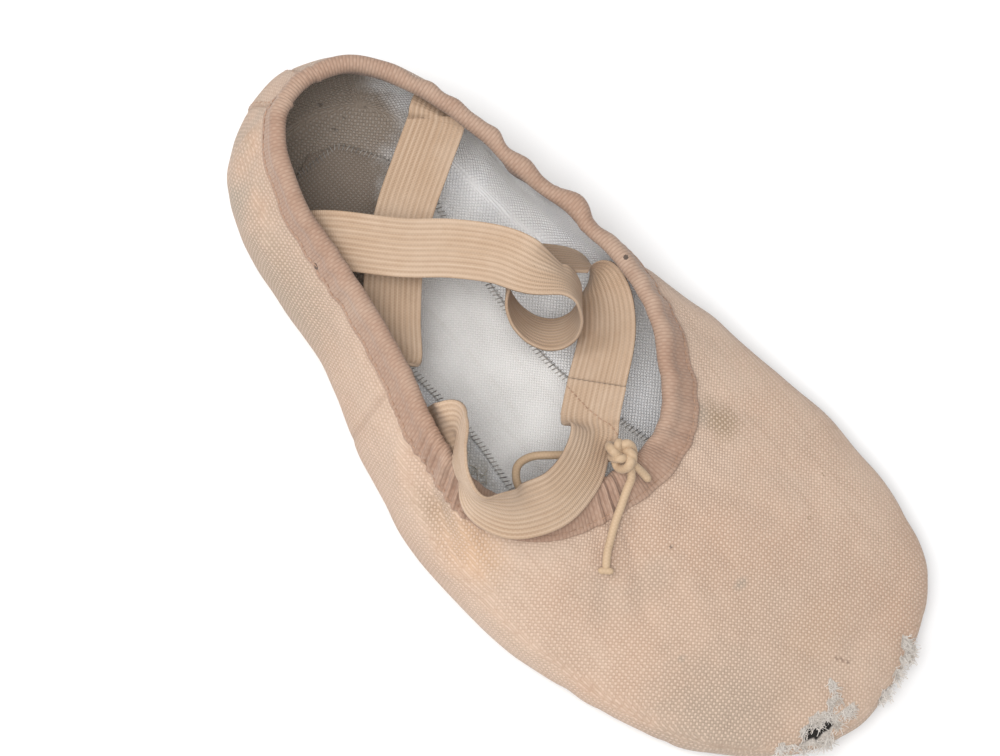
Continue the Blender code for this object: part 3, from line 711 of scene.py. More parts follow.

# %% [markdown]
# ## Creases, gathers and pleats
#
# Worn canvas is never as even as its pattern. The larger creases are listed one by one, each as a soft
# trough or ridge between two places on the wall, in ring positions and shares of the way down. The
# gathers under the tape and the pleats under the toe follow a rule, so a few sine waves make them.

# %% Creases, listed one by one
CREASES = (
    # from position, share down, to position, share down, width mm, height mm
    (20.8, 0.24, 22.4, 0.36, 5.0, -1.3),
    (22.4, 0.36, 23.9, 0.58, 5.5, -1.5),
    (23.0, 0.20, 24.4, 0.30, 4.5, 0.9),
    (24.4, 0.30, 25.8, 0.50, 5.5, 0.9),
    (19.4, 0.30, 20.4, 0.55, 5.0, 0.7),
    (14.0, 0.62, 19.0, 0.72, 12.0, -1.0),
    (9.0, 0.45, 12.5, 0.62, 8.0, -0.7),
    (5.6, 0.42, 7.4, 0.72, 6.0, -0.9),
    (3.4, 0.30, 4.6, 0.60, 5.0, 0.5),
    (75.8, 0.40, 73.6, 0.70, 6.0, -0.8),
    (71.0, 0.38, 68.0, 0.66, 8.0, -0.8),
    (66.0, 0.22, 64.6, 0.52, 5.0, -1.2),
    (64.4, 0.20, 63.2, 0.46, 4.0, 0.9),
    (62.6, 0.26, 60.6, 0.60, 7.0, -1.0),
    (58.4, 0.20, 55.8, 0.46, 7.0, -0.7),
    (52.6, 0.16, 51.4, 0.40, 5.0, -0.5),
    (47.0, 0.16, 47.8, 0.46, 6.0, -0.5),
    (43.6, 0.12, 44.2, 0.34, 4.5, -0.5),
    (40.6, 0.10, 40.4, 0.30, 4.0, -0.4),
    (37.6, 0.12, 37.2, 0.40, 5.0, 0.4),
    (35.2, 0.10, 34.0, 0.38, 4.5, -0.7),
    (33.0, 0.12, 31.6, 0.44, 5.0, -0.6),
    (30.0, 0.16, 28.8, 0.50, 6.0, 0.5),
    (36.0, 0.74, 38.8, 0.66, 5.0, -0.6),
    (41.4, 0.66, 43.8, 0.74, 5.0, -0.6),
    (39.6, 0.52, 40.6, 0.74, 3.5, -0.5),
    (30.0, 0.80, 34.0, 0.86, 6.0, -0.5),
    (46.0, 0.84, 51.0, 0.78, 6.0, -0.5),
)
UNDULATION, SMALL_UNDULATION = 0.35 * MM, 0.35
HILL, SMALL_HILL = 34 * MM, 12 * MM
UNDERFOOT_SHARE = 0.2


def wall_place(position, share):
    """A place on the plain wall, from its ring position and its share of the way down."""
    k = position * COLUMNS / RING_POSITIONS
    i = share * WALL_STEPS
    return BASE[min(int(round(i)), WALL_STEPS), int(round(k)) % COLUMNS]


def ripple(points, size, seed, waves=9):
    """Smooth wandering values, mostly between -1 and 1, about one size from hill to hill."""
    draw = np.random.default_rng(seed)
    total = np.zeros(points.shape[:-1])
    for _ in range(waves):
        way = unit(draw.normal(size=3)) * math.tau / (size * draw.uniform(0.6, 1.8))
        total += np.sin(points @ way + draw.uniform(0, math.tau))
    return total / math.sqrt(waves)


def from_line(points, start, end):
    """The distance of each point from a straight line between two places."""
    way = end - start
    share = np.clip((points - start) @ way / (way @ way), 0, 1)
    return np.linalg.norm(points - start - share[..., None] * way, axis=-1)


lift = UNDULATION * ripple(BASE, HILL, 3) + SMALL_UNDULATION * UNDULATION * ripple(BASE, SMALL_HILL, 4)
for from_j, from_t, to_j, to_t, width, height in CREASES:
    away = from_line(BASE, wall_place(from_j, from_t), wall_place(to_j, to_t))
    lift += height * MM * np.exp(-((away / (width * MM * 0.6)) ** 2))
lift[WALL_STEPS + TUCK_STEPS :] *= UNDERFOOT_SHARE
print("creases reach", (lift / MM).min().round(1), "to", (lift / MM).max().round(1), "mm")

# %% Gathers under the tape and pleats under the toe
GATHERS = (
    # ring position, spread in positions, wave mm, height mm
    (22.4, 3.0, 3.4, 0.42),
    (34.6, 2.4, 3.8, 0.50),
    (40.5, 3.2, 5.2, 0.42),
    (46.5, 3.5, 7.5, 0.28),
    (55.0, 4.5, 9.0, 0.30),
    (63.2, 1.5, 13.0, 0.95),
    (66.4, 1.2, 9.0, 0.60),
    (71.0, 4.0, 12.0, 0.22),
    (4.0, 6.0, 11.0, 0.18),
    (13.0, 4.0, 8.0, 0.22),
)
PLEATS = 15
PLEATS_FROM, PLEATS_OVER, PLEATS_FADE = 25, 30, 15
PLEAT_HEIGHT = 1.1 * MM
PLEAT_ROWS = 3
BINDING_WIDTH = 9 * MM
CANVAS_GATHERS_FROM = 3.3 * MM


def between_positions(position, at):
    """How many ring positions lie from one place to another, the short way round, with a sign."""
    return (position - at + RING_POSITIONS / 2) % RING_POSITIONS - RING_POSITIONS / 2


def gathers(position, finest=0.0):
    """How far the gathered tape stands out at ring positions, leaving out waves finer than finest."""
    run_at = np.interp(position, np.arange(COLUMNS) * RING_POSITIONS / COLUMNS, run_along(BASE[0]))
    out = np.zeros(len(position))
    for at, spread, wave, height in GATHERS:
        if wave * MM < finest:
            continue
        near = between_positions(position, at)
        turn = math.tau * run_at / (wave * MM)
        out += height * MM * np.exp(-((near / spread) ** 2)) * np.sin(turn + 1.6 * np.sin(turn / 3.7))
    return out


positions = np.arange(COLUMNS) * RING_POSITIONS / COLUMNS
down = np.cumsum(np.linalg.norm(np.diff(BASE[: WALL_STEPS + 1], axis=0), axis=2), axis=0)
down = np.vstack([np.zeros((1, COLUMNS)), down])
reach = np.exp(-((down / (1.7 * BINDING_WIDTH)) ** 2))
lift[: WALL_STEPS + 1] += gathers(positions, CANVAS_GATHERS_FROM) * reach
toe_side = np.clip(1 - np.abs(positions - RING_POSITIONS / 2) / PLEATS_FADE, 0, 1)
turned = math.pi * PLEATS * (positions - PLEATS_FROM) / PLEATS_OVER
fold = np.abs(np.sin(turned + 0.7 * np.sin(positions * 1.7)))
under = np.linspace(0, 1, PLEAT_ROWS + 1 + TUCK_STEPS + FLOOR_STEPS)
pleated = np.exp(-(((under - 0.5) / 0.33) ** 2))[:, None] * (fold**0.6 - 0.6) * smooth(toe_side * 2.5)
lift[WALL_STEPS - PLEAT_ROWS :] += PLEAT_HEIGHT * pleated

# %% [markdown]
# ## The toe's torn places
#
# The canvas is worn through at the tip, where the toes turn on the floor. Each tear is a shallow pit
# with a ragged edge: the wall is pushed in along a short line, and how torn each point is goes into an
# attribute, so the material can show pale fluff at the edge. Two of them go through the cloth, and
# another attribute paints shade into the middle of them.

# %% Pits for the tears
TEARS = (
    # from position, share down, to position, share down, half width mm, depth mm, through the cloth
    (37.4, 0.88, 38.3, 0.84, 1.5, 0.8, 0),
    (38.2, 0.86, 39.0, 0.83, 2.6, 1.6, 1),
    (38.9, 0.81, 39.6, 0.82, 2.3, 0.9, 0),
    (39.4, 0.80, 40.0, 0.70, 1.3, 0.6, 0),
    (41.0, 0.98, 41.8, 0.97, 1.7, 0.9, 0),
    (41.8, 0.97, 42.4, 0.88, 2.1, 0.9, 0),
    (41.2, 1.03, 41.9, 1.02, 1.2, 1.0, 1),
)
torn = np.zeros(BASE.shape[:2])
gap = np.zeros(BASE.shape[:2])
ragged = 1.0 + 0.55 * ripple(BASE, 3.2 * MM, 11) + 0.25 * ripple(BASE, 1.5 * MM, 12)
for from_j, from_t, to_j, to_t, half, depth, through in TEARS:
    away = from_line(BASE, wall_place(from_j, from_t), wall_place(to_j, to_t)) / (half * MM)
    near = smooth((1.25 * ragged - away) / 0.6)
    torn = np.maximum(torn, smooth((1.5 * ragged - away) / 0.8) * (0.3 + 0.7 * near))
    gap = np.maximum(gap, through * smooth((0.75 * ragged - away) / 0.35))
    lift -= depth * MM * smooth((0.8 * ragged - away) / 0.5) * (0.35 + 0.65 * through)
fluff = torn * (1 - gap)
lift += 0.35 * MM * fluff * ripple(BASE, 2.6 * MM, 13)
OUTER = BASE + BASE_OUT * lift[:, :, None]
OUTER[:, :, 2] = np.maximum(OUTER[:, :, 2], 0.15 * MM)
print("torn share of the upper", (torn > 0.5).mean().round(4))

# %% [markdown]
# ## The heel's strip
#
# A strip of the same canvas covers the seam down the back of the heel. It is the wall itself, raised
# by a cloth's thickness between two ring positions, with a groove where each edge is sewn down. The
# side seam further forward is only a groove.

# %% Strip and seams in the wall
STRIP_EDGES = (-0.9, 2.5)
STRIP_HEIGHT, SEAM_DEPTH = 0.45 * MM, 0.30 * MM
EDGE_SOFT, SEAM_HALF = 0.16, 0.13
SIDE_SEAMS, SIDE_SEAM_SHADE = (17.8, 62.4), 0.55
LINING_BEHIND = 0.4 * MM
CRUMPLE, CRUMPLE_SIZE = 0.34 * MM, 11 * MM
beyond = between_positions(positions, 0)
on_strip = smooth((beyond - STRIP_EDGES[0]) / EDGE_SOFT) * smooth((STRIP_EDGES[1] - beyond) / EDGE_SOFT)
raised = STRIP_HEIGHT * on_strip
# This mask paints shade into the seams' grooves.
seam = np.zeros(BASE.shape[:2])
for at in (*STRIP_EDGES, *SIDE_SEAMS):
    groove = np.exp(-((between_positions(positions, at) / SEAM_HALF) ** 2))
    raised = raised - SEAM_DEPTH * groove
    seam = np.maximum(seam, groove[None, :] * (1.0 if at in STRIP_EDGES else SIDE_SEAM_SHADE))
rows_down = np.ones(OUTER.shape[0])
rows_down[WALL_STEPS:] = np.clip(1 - np.arange(len(rows_down) - WALL_STEPS) / TUCK_STEPS, 0, 1)
seam *= rows_down[:, None]
# The pleats' troughs join the mask, so they get painted shade as well.
seam[WALL_STEPS - PLEAT_ROWS :] = np.maximum(seam[WALL_STEPS - PLEAT_ROWS :], smooth(-2.2 * pleated))
OUTER += BASE_OUT * (raised * rows_down[:, None])[:, :, None]
wall = slice(0, WALL_STEPS + 1)
wall_share = np.linspace(0, 1, WALL_STEPS + 1)
below_tape = smooth((wall_share - 0.18) / 0.12) * smooth((1 - wall_share) / 0.15)
crumple = np.zeros(BASE.shape[:2])
crumple[wall] = CRUMPLE * ripple(BASE[wall], CRUMPLE_SIZE, 14) * below_tape[:, None]
inner_lift = np.where(gap > 0, np.minimum(lift, 0), lift) * (1 - torn) - CANVAS + crumple
inner_lift = np.minimum(inner_lift, lift - LINING_BEHIND)
INNER = BASE + BASE_OUT * inner_lift[:, :, None]

# %% Finish: outer canvas
PEACH, PEACH_PALE, PEACH_DEEP = (0.48, 0.325, 0.235), (0.555, 0.41, 0.315), (0.39, 0.26, 0.178)
PEACH_HIGHLIGHT, PEACH_GAP_SHADE, SEAM_SHADE = (0.68, 0.52, 0.41), (0.62, 0.50, 0.42), (0.30, 0.19, 0.13)
GREY_DIRT_AND_SHADE, BROWN_DIRT, BLACK_DIRT = (0.30, 0.27, 0.22), (0.31, 0.22, 0.14), (0.035, 0.03, 0.028)
SOLE_DIRT = (0.17, 0.15, 0.11)
FLUFF, FLUFF_SHADE, HOLE_SHADE = (0.66, 0.61, 0.56), (0.36, 0.31, 0.27), (0.02, 0.018, 0.016)
CANVAS_STAINS_AND_SHADE = (
    # place mm, size mm, colour, strength, ragged
    ((-28.5, 33.0, 30.0), (7.0, 9.0, 12.0), BROWN_DIRT, 0.78, 0.9),
    ((-24.0, 28.0, 31.0), (5.0, 5.0, 9.0), GREY_DIRT_AND_SHADE, 0.40, 1.0),
    ((47.5, 16.0, 30.0), (11.0, 17.0, 14.0), (0.56, 0.32, 0.16), 0.45, 0.5),
    ((49.0, 3.0, 31.0), (8.0, 12.0, 7.0), BROWN_DIRT, 0.40, 0.8),
    ((16.0, 54.5, 29.5), (15.0, 8.0, 12.0), GREY_DIRT_AND_SHADE, 0.24, 0.9),
    ((30.0, 50.0, 28.0), (9.0, 15.0, 10.0), GREY_DIRT_AND_SHADE, 0.20, 0.9),
    ((-2.6, 70.6, 28.4), (3.6, 2.0, 6.0), GREY_DIRT_AND_SHADE, 0.60, 0.6),
    ((6.1, 51.0, 31.2), (1.0, 0.7, 4.0), BLACK_DIRT, 0.60, 0.3),
    ((23.0, 75.4, 25.2), (2.0, 1.4, 4.0), GREY_DIRT_AND_SHADE, 0.55, 0.5),
    ((-10.7, 102.4, 22.4), (1.0, 1.0, 5.0), (0.12, 0.07, 0.05), 0.90, 0.2),
    ((-11.6, 103.6, 22.1), (0.7, 1.4, 5.0), (0.12, 0.07, 0.05), 0.90, 0.2),
    ((-12.5, 105.2, 21.6), (0.7, 1.4, 5.0), (0.12, 0.07, 0.05), 0.80, 0.2),
    # Partly dirt and partly painted shade, where the light falls off towards the toe.
    ((24.0, 95.0, 20.0), (26.0, 26.0, 22.0), GREY_DIRT_AND_SHADE, 0.56, 0.9),
    ((-11.0, 94.0, 24.0), (17.0, 12.0, 10.0), (0.55, 0.35, 0.22), 0.40, 0.6),
    ((4.0, 100.0, 22.0), (12.0, 9.0, 9.0), (0.50, 0.36, 0.25), 0.25, 0.8),
    ((34.0, -99.0, 28.0), (9.0, 11.0, 10.0), GREY_DIRT_AND_SHADE, 0.60, 1.0),
    ((23.5, -107.5, 38.0), (2.0, 3.0, 6.0), (0.40, 0.30, 0.22), 0.60, 0.7),
    # Partly dirt and partly painted shade at the toe's edge, where the light falls off.
    ((-2.0, 118.0, 9.0), (30.0, 9.0, 9.0), GREY_DIRT_AND_SHADE, 0.45, 0.9),
    ((-40.0, -90.0, 20.0), (14.0, 20.0, 14.0), GREY_DIRT_AND_SHADE, 0.35, 1.0),
    ((0.0, 70.0, 1.0), (44.0, 46.0, 7.0), (0.20, 0.19, 0.15), 0.80, 1.3),
    ((2.0, -86.0, 1.0), (32.0, 38.0, 7.0), (0.22, 0.20, 0.16), 0.72, 1.3),
    # Painted shade: the vamp darkens towards the toe, where the light falls off.
    ((4.0, 92.0, 22.0), (60.0, 38.0, 32.0), (0.40, 0.29, 0.215), 0.55, 0.4),
    ((44.0, -74.0, 26.0), (24.0, 36.0, 28.0), (0.34, 0.26, 0.19), 0.80, 0.7),
)
canvas_finish, tree, given = new_finish("worn_canvas", roughness=0.88, sheen=0.12)
place = given["Place"]
cloth = use(tree, weave, Place=place, Facing=given["Facing"])
colour = tint(tree, clouds(tree, place, scale=26.0, start=0.3, end=0.75), PEACH_PALE, PEACH)
colour = layer(tree, colour, fade(tree, cloth["Threads"], 0.45, 0.75), PEACH_DEEP, strength=0.25)
forward, upward = split(tree, place)[1:]
cloudy = clouds(tree, place, scale=70.0, start=0.35, end=0.75)
heel_grey = calc(tree, "MULTIPLY", fade(tree, forward, -0.055, -0.115), cloudy)
colour = layer(tree, colour, heel_grey, GREY_DIRT_AND_SHADE, strength=0.45)
colour = layer(tree, colour, cloudy, GREY_DIRT_AND_SHADE, strength=0.10)
colour = smudged(tree, place, colour, CANVAS_STAINS_AND_SHADE)
colour = specked(tree, place, colour, BROWN_DIRT, scale=170.0, size=0.09, share=0.05, strength=0.7)
# Painted highlights on the thread tops, and painted shade in the gaps between the threads.
colour = layer(tree, colour, cloth["Dots"], PEACH_HIGHLIGHT, strength=0.60)
gap_shade = fade(tree, cloth["Height"], 0.55, 0.0)
colour = layer(tree, colour, gap_shade, PEACH_GAP_SHADE, strength=0.34, blend="MULTIPLY")
soiled = calc(tree, "MULTIPLY_ADD", cloudy, 0.40, 0.45)
colour = layer(tree, colour, fade(tree, upward, 0.007, 0.0012), SOLE_DIRT, strength=soiled)
# Painted shade in the seams' grooves and in the pleats' troughs.
colour = layer(tree, colour, painted_on(tree, "seam"), SEAM_SHADE, strength=0.6)
wisps = tint(tree, noise(tree, place, scale=1500.0, detail=3.0), FLUFF_SHADE, FLUFF)
colour = tint(tree, fade(tree, painted_on(tree, "torn"), 0.35, 0.6), colour, wisps)
# Painted shade in the middle of the holes that go through the cloth.
colour = tint(tree, fade(tree, painted_on(tree, "gap"), 0.5, 0.9), colour, HOLE_SHADE)
complete(tree, colour, cloth["Height"], depth=0.28 * MM, strength=0.8)

# %% Finish: white lining
LINING_WHITE, LINING_COOL, LINING_HEEL = (0.96, 0.95, 0.94), (0.90, 0.90, 0.92), (0.27, 0.205, 0.15)
LINING_HIGHLIGHT, LINING_GAP_SHADE = (0.98, 0.97, 0.96), (0.50, 0.48, 0.47)
LINING_STAINS = (
    # place mm, size mm, colour, strength, ragged
    ((-22.0, 22.0, 28.0), (9.0, 8.0, 9.0), BROWN_DIRT, 0.55, 1.0),
    ((31.0, -9.0, 7.0), (12.0, 26.0, 11.0), (0.42, 0.38, 0.31), 0.70, 1.3),
    ((12.0, 20.0, 6.0), (16.0, 10.0, 8.0), (0.40, 0.37, 0.33), 0.55, 0.9),
    ((10.0, -95.0, 10.0), (5.0, 4.0, 9.0), BLACK_DIRT, 0.70, 1.4),
    ((19.0, -86.0, 9.0), (3.0, 7.0, 9.0), BLACK_DIRT, 0.60, 1.4),
    ((-15.0, -70.0, 6.0), (5.0, 6.0, 6.0), BLACK_DIRT, 0.55, 1.5),
)
def white_threads(tree, colour, cloth, at_heel, highlight_colour, gap, strength):
    """The threads of a white cloth: painted highlights on the thread tops, fainter in the heel's dirt and
    shade, and painted shade between them.
    """
    shown = calc(tree, "MULTIPLY_ADD", at_heel, -0.26, 0.36)
    colour = layer(tree, colour, cloth["Dots"], highlight_colour, shown)
    return layer(tree, colour, fade(tree, cloth["Height"], 0.5, 0.0), gap, strength, blend="MULTIPLY")


lining_finish, tree, given = new_finish("white_lining", roughness=0.92, sheen=0.10)
place = given["Place"]
cloth = use(tree, weave, Place=place, Facing=given["Facing"], Pitch=0.0012)
cloudy = clouds(tree, place, scale=45.0, start=0.35, end=0.7)
at_heel = use(tree, heel_dirt_and_shade, Place=place)["Mask"]
# LINING_HEEL darkens the heel's inside: partly dirt and partly painted shade.
colour = layer(tree, tint(tree, cloudy, LINING_WHITE, LINING_COOL), at_heel, LINING_HEEL, strength=0.92)
colour = smudged(tree, place, colour, LINING_STAINS)
heel_clouds = calc(tree, "MULTIPLY", at_heel, cloudy)
colour = specked(tree, place, colour, BLACK_DIRT, scale=260.0, size=0.2, share=0.35, strength=heel_clouds)
colour = white_threads(tree, colour, cloth, at_heel, LINING_HIGHLIGHT, LINING_GAP_SHADE, strength=0.18)
complete(tree, colour, cloth["Height"], depth=0.34 * MM, strength=1.0)

# %% [markdown]
# ## The upper
#
# The outer canvas and the white lining are the two faces of one wall, closed over the collar's rim,
# where the tape hides it. The two faces are made in one mesh, so nothing gapes between them.

# %% Upper in two cloths
def grid_faces(rows, columns, first, flip=False):
    """Quads over rows of points that close on themselves, whose first point has the index first."""
    i, j = np.meshgrid(np.arange(rows - 1), np.arange(columns), indexing="ij")
    k = (j + 1) % columns
    this_row, next_row = i * columns + first, (i + 1) * columns + first
    quads = np.stack([this_row + j, this_row + k, next_row + k, next_row + j], axis=-1).reshape(-1, 4)
    return quads[:, ::-1] if flip else quads


def closed_floor(quads, rows, columns, first):
    """Turns the quads of the floor's last row into a seam along the spine, matching both sides."""
    last = first + (rows - 1) * columns
    twin = (columns - np.arange(columns)) % columns
    side = np.arange(columns) > columns // 2
    moved = quads.copy()
    on_seam = quads >= last
    slot = np.where(on_seam, quads - last, 0)
    on_seam &= quads < last + columns
    moved[on_seam] = last + np.where(side[slot], twin[slot], slot)[on_seam]
    return moved


rows = OUTER.shape[0]
size = rows * COLUMNS
outer_faces = closed_floor(grid_faces(rows, COLUMNS, 0, flip=True), rows, COLUMNS, 0)
inner_faces = closed_floor(grid_faces(rows, COLUMNS, size), rows, COLUMNS, size)
j = np.arange(COLUMNS)
k = (j + 1) % COLUMNS
rim_faces = np.stack([j, k, size + k, size + j], axis=1)
quads = np.vstack([outer_faces, inner_faces, rim_faces])
faces = []
for quad in quads.tolist():
    corners = list(dict.fromkeys(quad))
    if len(corners) > 2:
        faces.append(corners)
points = np.vstack([OUTER.reshape(-1, 3), INNER.reshape(-1, 3)])
used = np.unique(np.concatenate([np.array(f) for f in faces]))
renumber = np.zeros(len(points), dtype=int)
renumber[used] = np.arange(len(used))
mesh = bpy.data.meshes.new("canvas_upper")
mesh.from_pydata(points[used].tolist(), [], [[int(renumber[v]) for v in f] for f in faces])
for label, values in (("torn", torn), ("gap", gap), ("seam", seam)):
    carry(mesh, label, np.concatenate([values.ravel(), 0 * values.ravel()])[used])
mesh.shade_smooth()
mesh.materials.append(canvas_finish)
mesh.materials.append(lining_finish)
lined = np.array([min(f) >= size for f in faces])
mesh.polygons.foreach_set("material_index", lined.astype(np.int32))
mesh.update()
new_piece("canvas_upper", mesh, "canvas", "upper")
print("upper", len(mesh.vertices), "points,", sum(len(f) - 2 for f in faces), "triangles")

# %% [markdown]
# ## The collar's tape
#
# A folded cotton tape is sewn over the rim, and the drawstring runs in the roll at its edge. Its
# section is swept around the collar as a closed skin that follows the wall, with the gathers on top.
# Fine ribs run across the tape, so they use the tape's own map.

# %% Finish: ribbed tape
TAPE, TAPE_PALE, TAPE_DEEP = (0.35, 0.22, 0.158), (0.415, 0.29, 0.218), (0.24, 0.14, 0.095)
TAPE_GLINT = (0.54, 0.40, 0.31)
tape_finish, tree, given = new_finish("ribbed_tape", roughness=0.85, sheen=0.12)
place = given["Place"]
thread = use(tree, ribs, Map=given["Map"], Along=0.00095, Across=0.0012)
colour = tint(tree, clouds(tree, place, scale=55.0, start=0.35, end=0.7), TAPE, TAPE_PALE)
# Painted shade in the grooves between the ribs.
colour = layer(tree, colour, fade(tree, thread["Height"], 0.55, 0.0), TAPE_DEEP, strength=0.42)
patchy = calc(tree, "MULTIPLY", thread["Dots"], noise(tree, place, scale=800.0, detail=1.0))
colour = layer(tree, colour, patchy, TAPE_GLINT, strength=0.35)
rubbed = clouds(tree, place, scale=130.0, start=0.5, end=0.75)
colour = layer(tree, colour, rubbed, TAPE_DEEP, strength=0.35)
colour = specked(tree, place, colour, BLACK_DIRT, scale=210.0, size=0.13, share=0.06, strength=0.8)
complete(tree, colour, thread["Height"], depth=0.16 * MM, strength=0.8)

# %% Tape around the collar
TAPE_COLUMNS = 1200
TAPE_SECTION = (
    # mm down from the rim, mm out from the canvas
    (9.0, 0.10), (9.0, 0.62), (8.6, 0.92), (8.0, 1.00), (7.4, 0.82), (6.9, 0.98), (6.0, 1.10), (4.8, 1.15),
    (3.8, 1.12), (2.9, 1.25), (2.0, 1.52), (1.0, 1.72), (0.0, 1.66), (-0.9, 1.32), (-1.6, 0.72),
    (-1.95, -0.05), (-2.0, -0.70),
)
PUCKER_DOWN = 0.35
PUCKER_AT, PUCKER_SPREAD, PUCKER_LEAST = 4 * MM, 4.5 * MM, 0.35
def beside_wall(points, ways, position, down, out):
    """Places beside the wall at ring positions, down from the rim and out from the canvas.

    Also gives the wall's outward direction at each of them.
    """
    position, down, out = np.broadcast_arrays(np.atleast_1d(position).astype(float), down, out)
    column = position % RING_POSITIONS * COLUMNS / RING_POSITIONS
    first = np.floor(column).astype(int) % COLUMNS
    part = (column - np.floor(column))[None, :, None]
    line = (1 - part) * points[wall][:, first] + part * points[wall][:, (first + 1) % COLUMNS]
    face = (1 - part) * ways[wall][:, first] + part * ways[wall][:, (first + 1) % COLUMNS]
    run = np.cumsum(np.linalg.norm(np.diff(line, axis=0), axis=2), axis=0)
    run = np.vstack([np.zeros(len(position)), run])
    row = np.clip((run <= down).sum(axis=0) - 1, 0, WALL_STEPS - 1)
    each = np.arange(len(position))
    step = run[row + 1, each] - run[row, each]
    share = ((down - run[row, each]) / step)[:, None]
    place = line[row, each] + (line[row + 1, each] - line[row, each]) * share
    facing = unit(face[row, each] + (face[row + 1, each] - face[row, each]) * np.clip(share, 0, 1))
    return place + facing * out[:, None], facing


inside = [(min(down, 8.0), -CANVAS / MM - out) for down, out in TAPE_SECTION[-2::-1]]
section = np.array(list(TAPE_SECTION) + inside)[::-1] * MM
tape_at = np.arange(TAPE_COLUMNS) * RING_POSITIONS / TAPE_COLUMNS
pucker = gathers(tape_at)
tape_rings = []
for down_by, out_by in section:
    edge = math.exp(-((down_by - PUCKER_AT) / PUCKER_SPREAD) ** 2)
    edge = PUCKER_LEAST + (1 - PUCKER_LEAST) * edge
    puffed = out_by + (pucker if out_by > -CANVAS / 2 else -pucker) * edge
    lowered = down_by + PUCKER_DOWN * pucker
    tape_rings.append(beside_wall(OUTER, BASE_OUT, tape_at, lowered, puffed)[0])
tape_rings = np.array(tape_rings).transpose(1, 0, 2)
middle = tape_rings.mean(axis=1)
tape_run = run_along(middle)
tape_run = np.append(tape_run, tape_run[-1] + np.linalg.norm(middle[0] - middle[-1]))
section_run = run_along(section)
section_run = np.append(section_run, section_run[-1] + 2 * MM)
tape_mesh = skin("collar_tape", tape_rings, tape_finish, True, tape_run, section_run)
new_piece("collar_tape", tape_mesh, "binding", "binding")
print("tape", round(float(tape_run[-1]), 3), "m around")

# %% [markdown]
# ## The elastic straps
#
# Knitted elastic has lengthwise ribs that catch the light, about eleven across its width. They are
# real relief: the ribbon's section is a closed line with a groove between ribs, swept along the same
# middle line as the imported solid. Each row of the tables gives a place and the way the width points.

# %% Strap tables
ELASTIC_WIDTH = 16 * MM
ELASTIC = 1.0 * MM
GAP = 0.3 * MM
SEAT_CLEAR = 0.9 * MM
SEWN_DEPTH = 22 * MM
CURL_ALONG, CURL_UP = 10 * MM, 12 * MM
CURL_END = 8 * MM
CURL_PITCH = 19 * MM
CURL_LEAD = 6 * MM
STRAP_CROSS = (
    # along, across, height, width_x, width_y, width_z
    (0.167, -0.66, 0.81, -0.55, 0.84, 0.01),
    (0.190, -0.39, 0.72, -0.58, 0.81, 0.02),
    (0.218, -0.08, 0.66, -0.62, 0.78, 0.04),
    (0.256, 0.23, 0.64, -0.72, 0.69, 0.08),
    (0.310, 0.53, 0.66, -0.81, 0.57, 0.12),
    (0.351, 0.70, 0.72, -0.91, 0.37, 0.18),
)
STRAP_LONG_START = (
    # along, across, height, width_x, width_y, width_z
    (0.207, 0.57, 0.91, 0.64, 0.71, -0.28),
    (0.262, 0.24, 0.96, 0.61, 0.74, -0.28),
    (0.300, -0.04, 0.98, 0.61, 0.74, -0.28),
    (0.342, -0.24, 1.03, 0.63, 0.76, -0.10),
    (0.380, -0.32, 1.07, 0.66, 0.72, 0.20),
)
STRAP_LONG_END = (
    # along, across, height, width_x, width_y, width_z
    (0.395, -0.74, 0.62, 0.23, 0.63, 0.74),
    (0.436, -0.66, 0.62, -0.32, 0.75, 0.58),
    (0.479, -0.45, 0.66, -0.59, 0.73, 0.34),
    (0.518, -0.17, 0.735, -0.70, 0.69, 0.13),
    (0.545, 0.01, 0.785, -0.69, 0.72, 0.07),
)
STRAP_FRONT = (
    # along, across, height, width_x, width_y, width_z
    (0.564, 0.09, 0.88, -0.69, 0.37, -0.63),
    (0.586, 0.26, 0.91, -0.43, 0.66, -0.62),
    (0.594, 0.45, 0.93, 0.14, 0.82, -0.55),
    (0.585, 0.61, 0.95, 0.46, 0.69, -0.56),
    (0.571, 0.72, 0.99, 0.31, 0.48, -0.82),
    (0.544, 0.81, 1.06, 0.10, 0.19, -0.98),
    (0.518, 0.81, 1.12, -0.03, -0.10, -0.99),
    (0.496, 0.76, 1.12, 0.05, -0.10, -0.99),
    (0.478, 0.69, 1.08, 0.10, -0.10, -0.99),
    (0.462, 0.66, 0.98, 0.18, -0.08, -0.98),
)
CURL_CENTRE = (0.407, -0.307, 0.787)
CURL_FORWARD = np.array([-0.754, 0.650, 0.095])
CURL_RISE = np.array([-0.390, -0.559, 0.732])
CURL_AXIS = np.array([0.529, 0.515, 0.674])
CURL_FIRST, CURL_LAST, CURL_STEPS = math.radians(60), math.radians(-250), 12
CROSS_SEATS = (70, 16.6)
LONG_SEAT = 11
FRONT_SEAT = (
    # ring position, mm down, mm clear of the wall
    (20.1, 7, 4.6),
    (19.7, 12, 3.2),
    (18.9, 17, 2.0),
    (18.0, 19, 1.3),
)
BINDING_INSIDE = 0.8 * MM


def foot_place(along, across, height):
    x = centre(along) + across * breadth(along)
    return np.array([x, along * LENGTH, height * SIDE_HEIGHT]) - ORIGIN


def strap_rows(table):
    """The rows of a strap's table as real places, each with its width's direction."""
    return [(*foot_place(along, across, height), *width) for along, across, height, *width in table]


def plain_wall(position, down, out):
    """One place beside the plain wall, without its creases."""
    return beside_wall(BASE, BASE_OUT, position, down, out)[0][0]


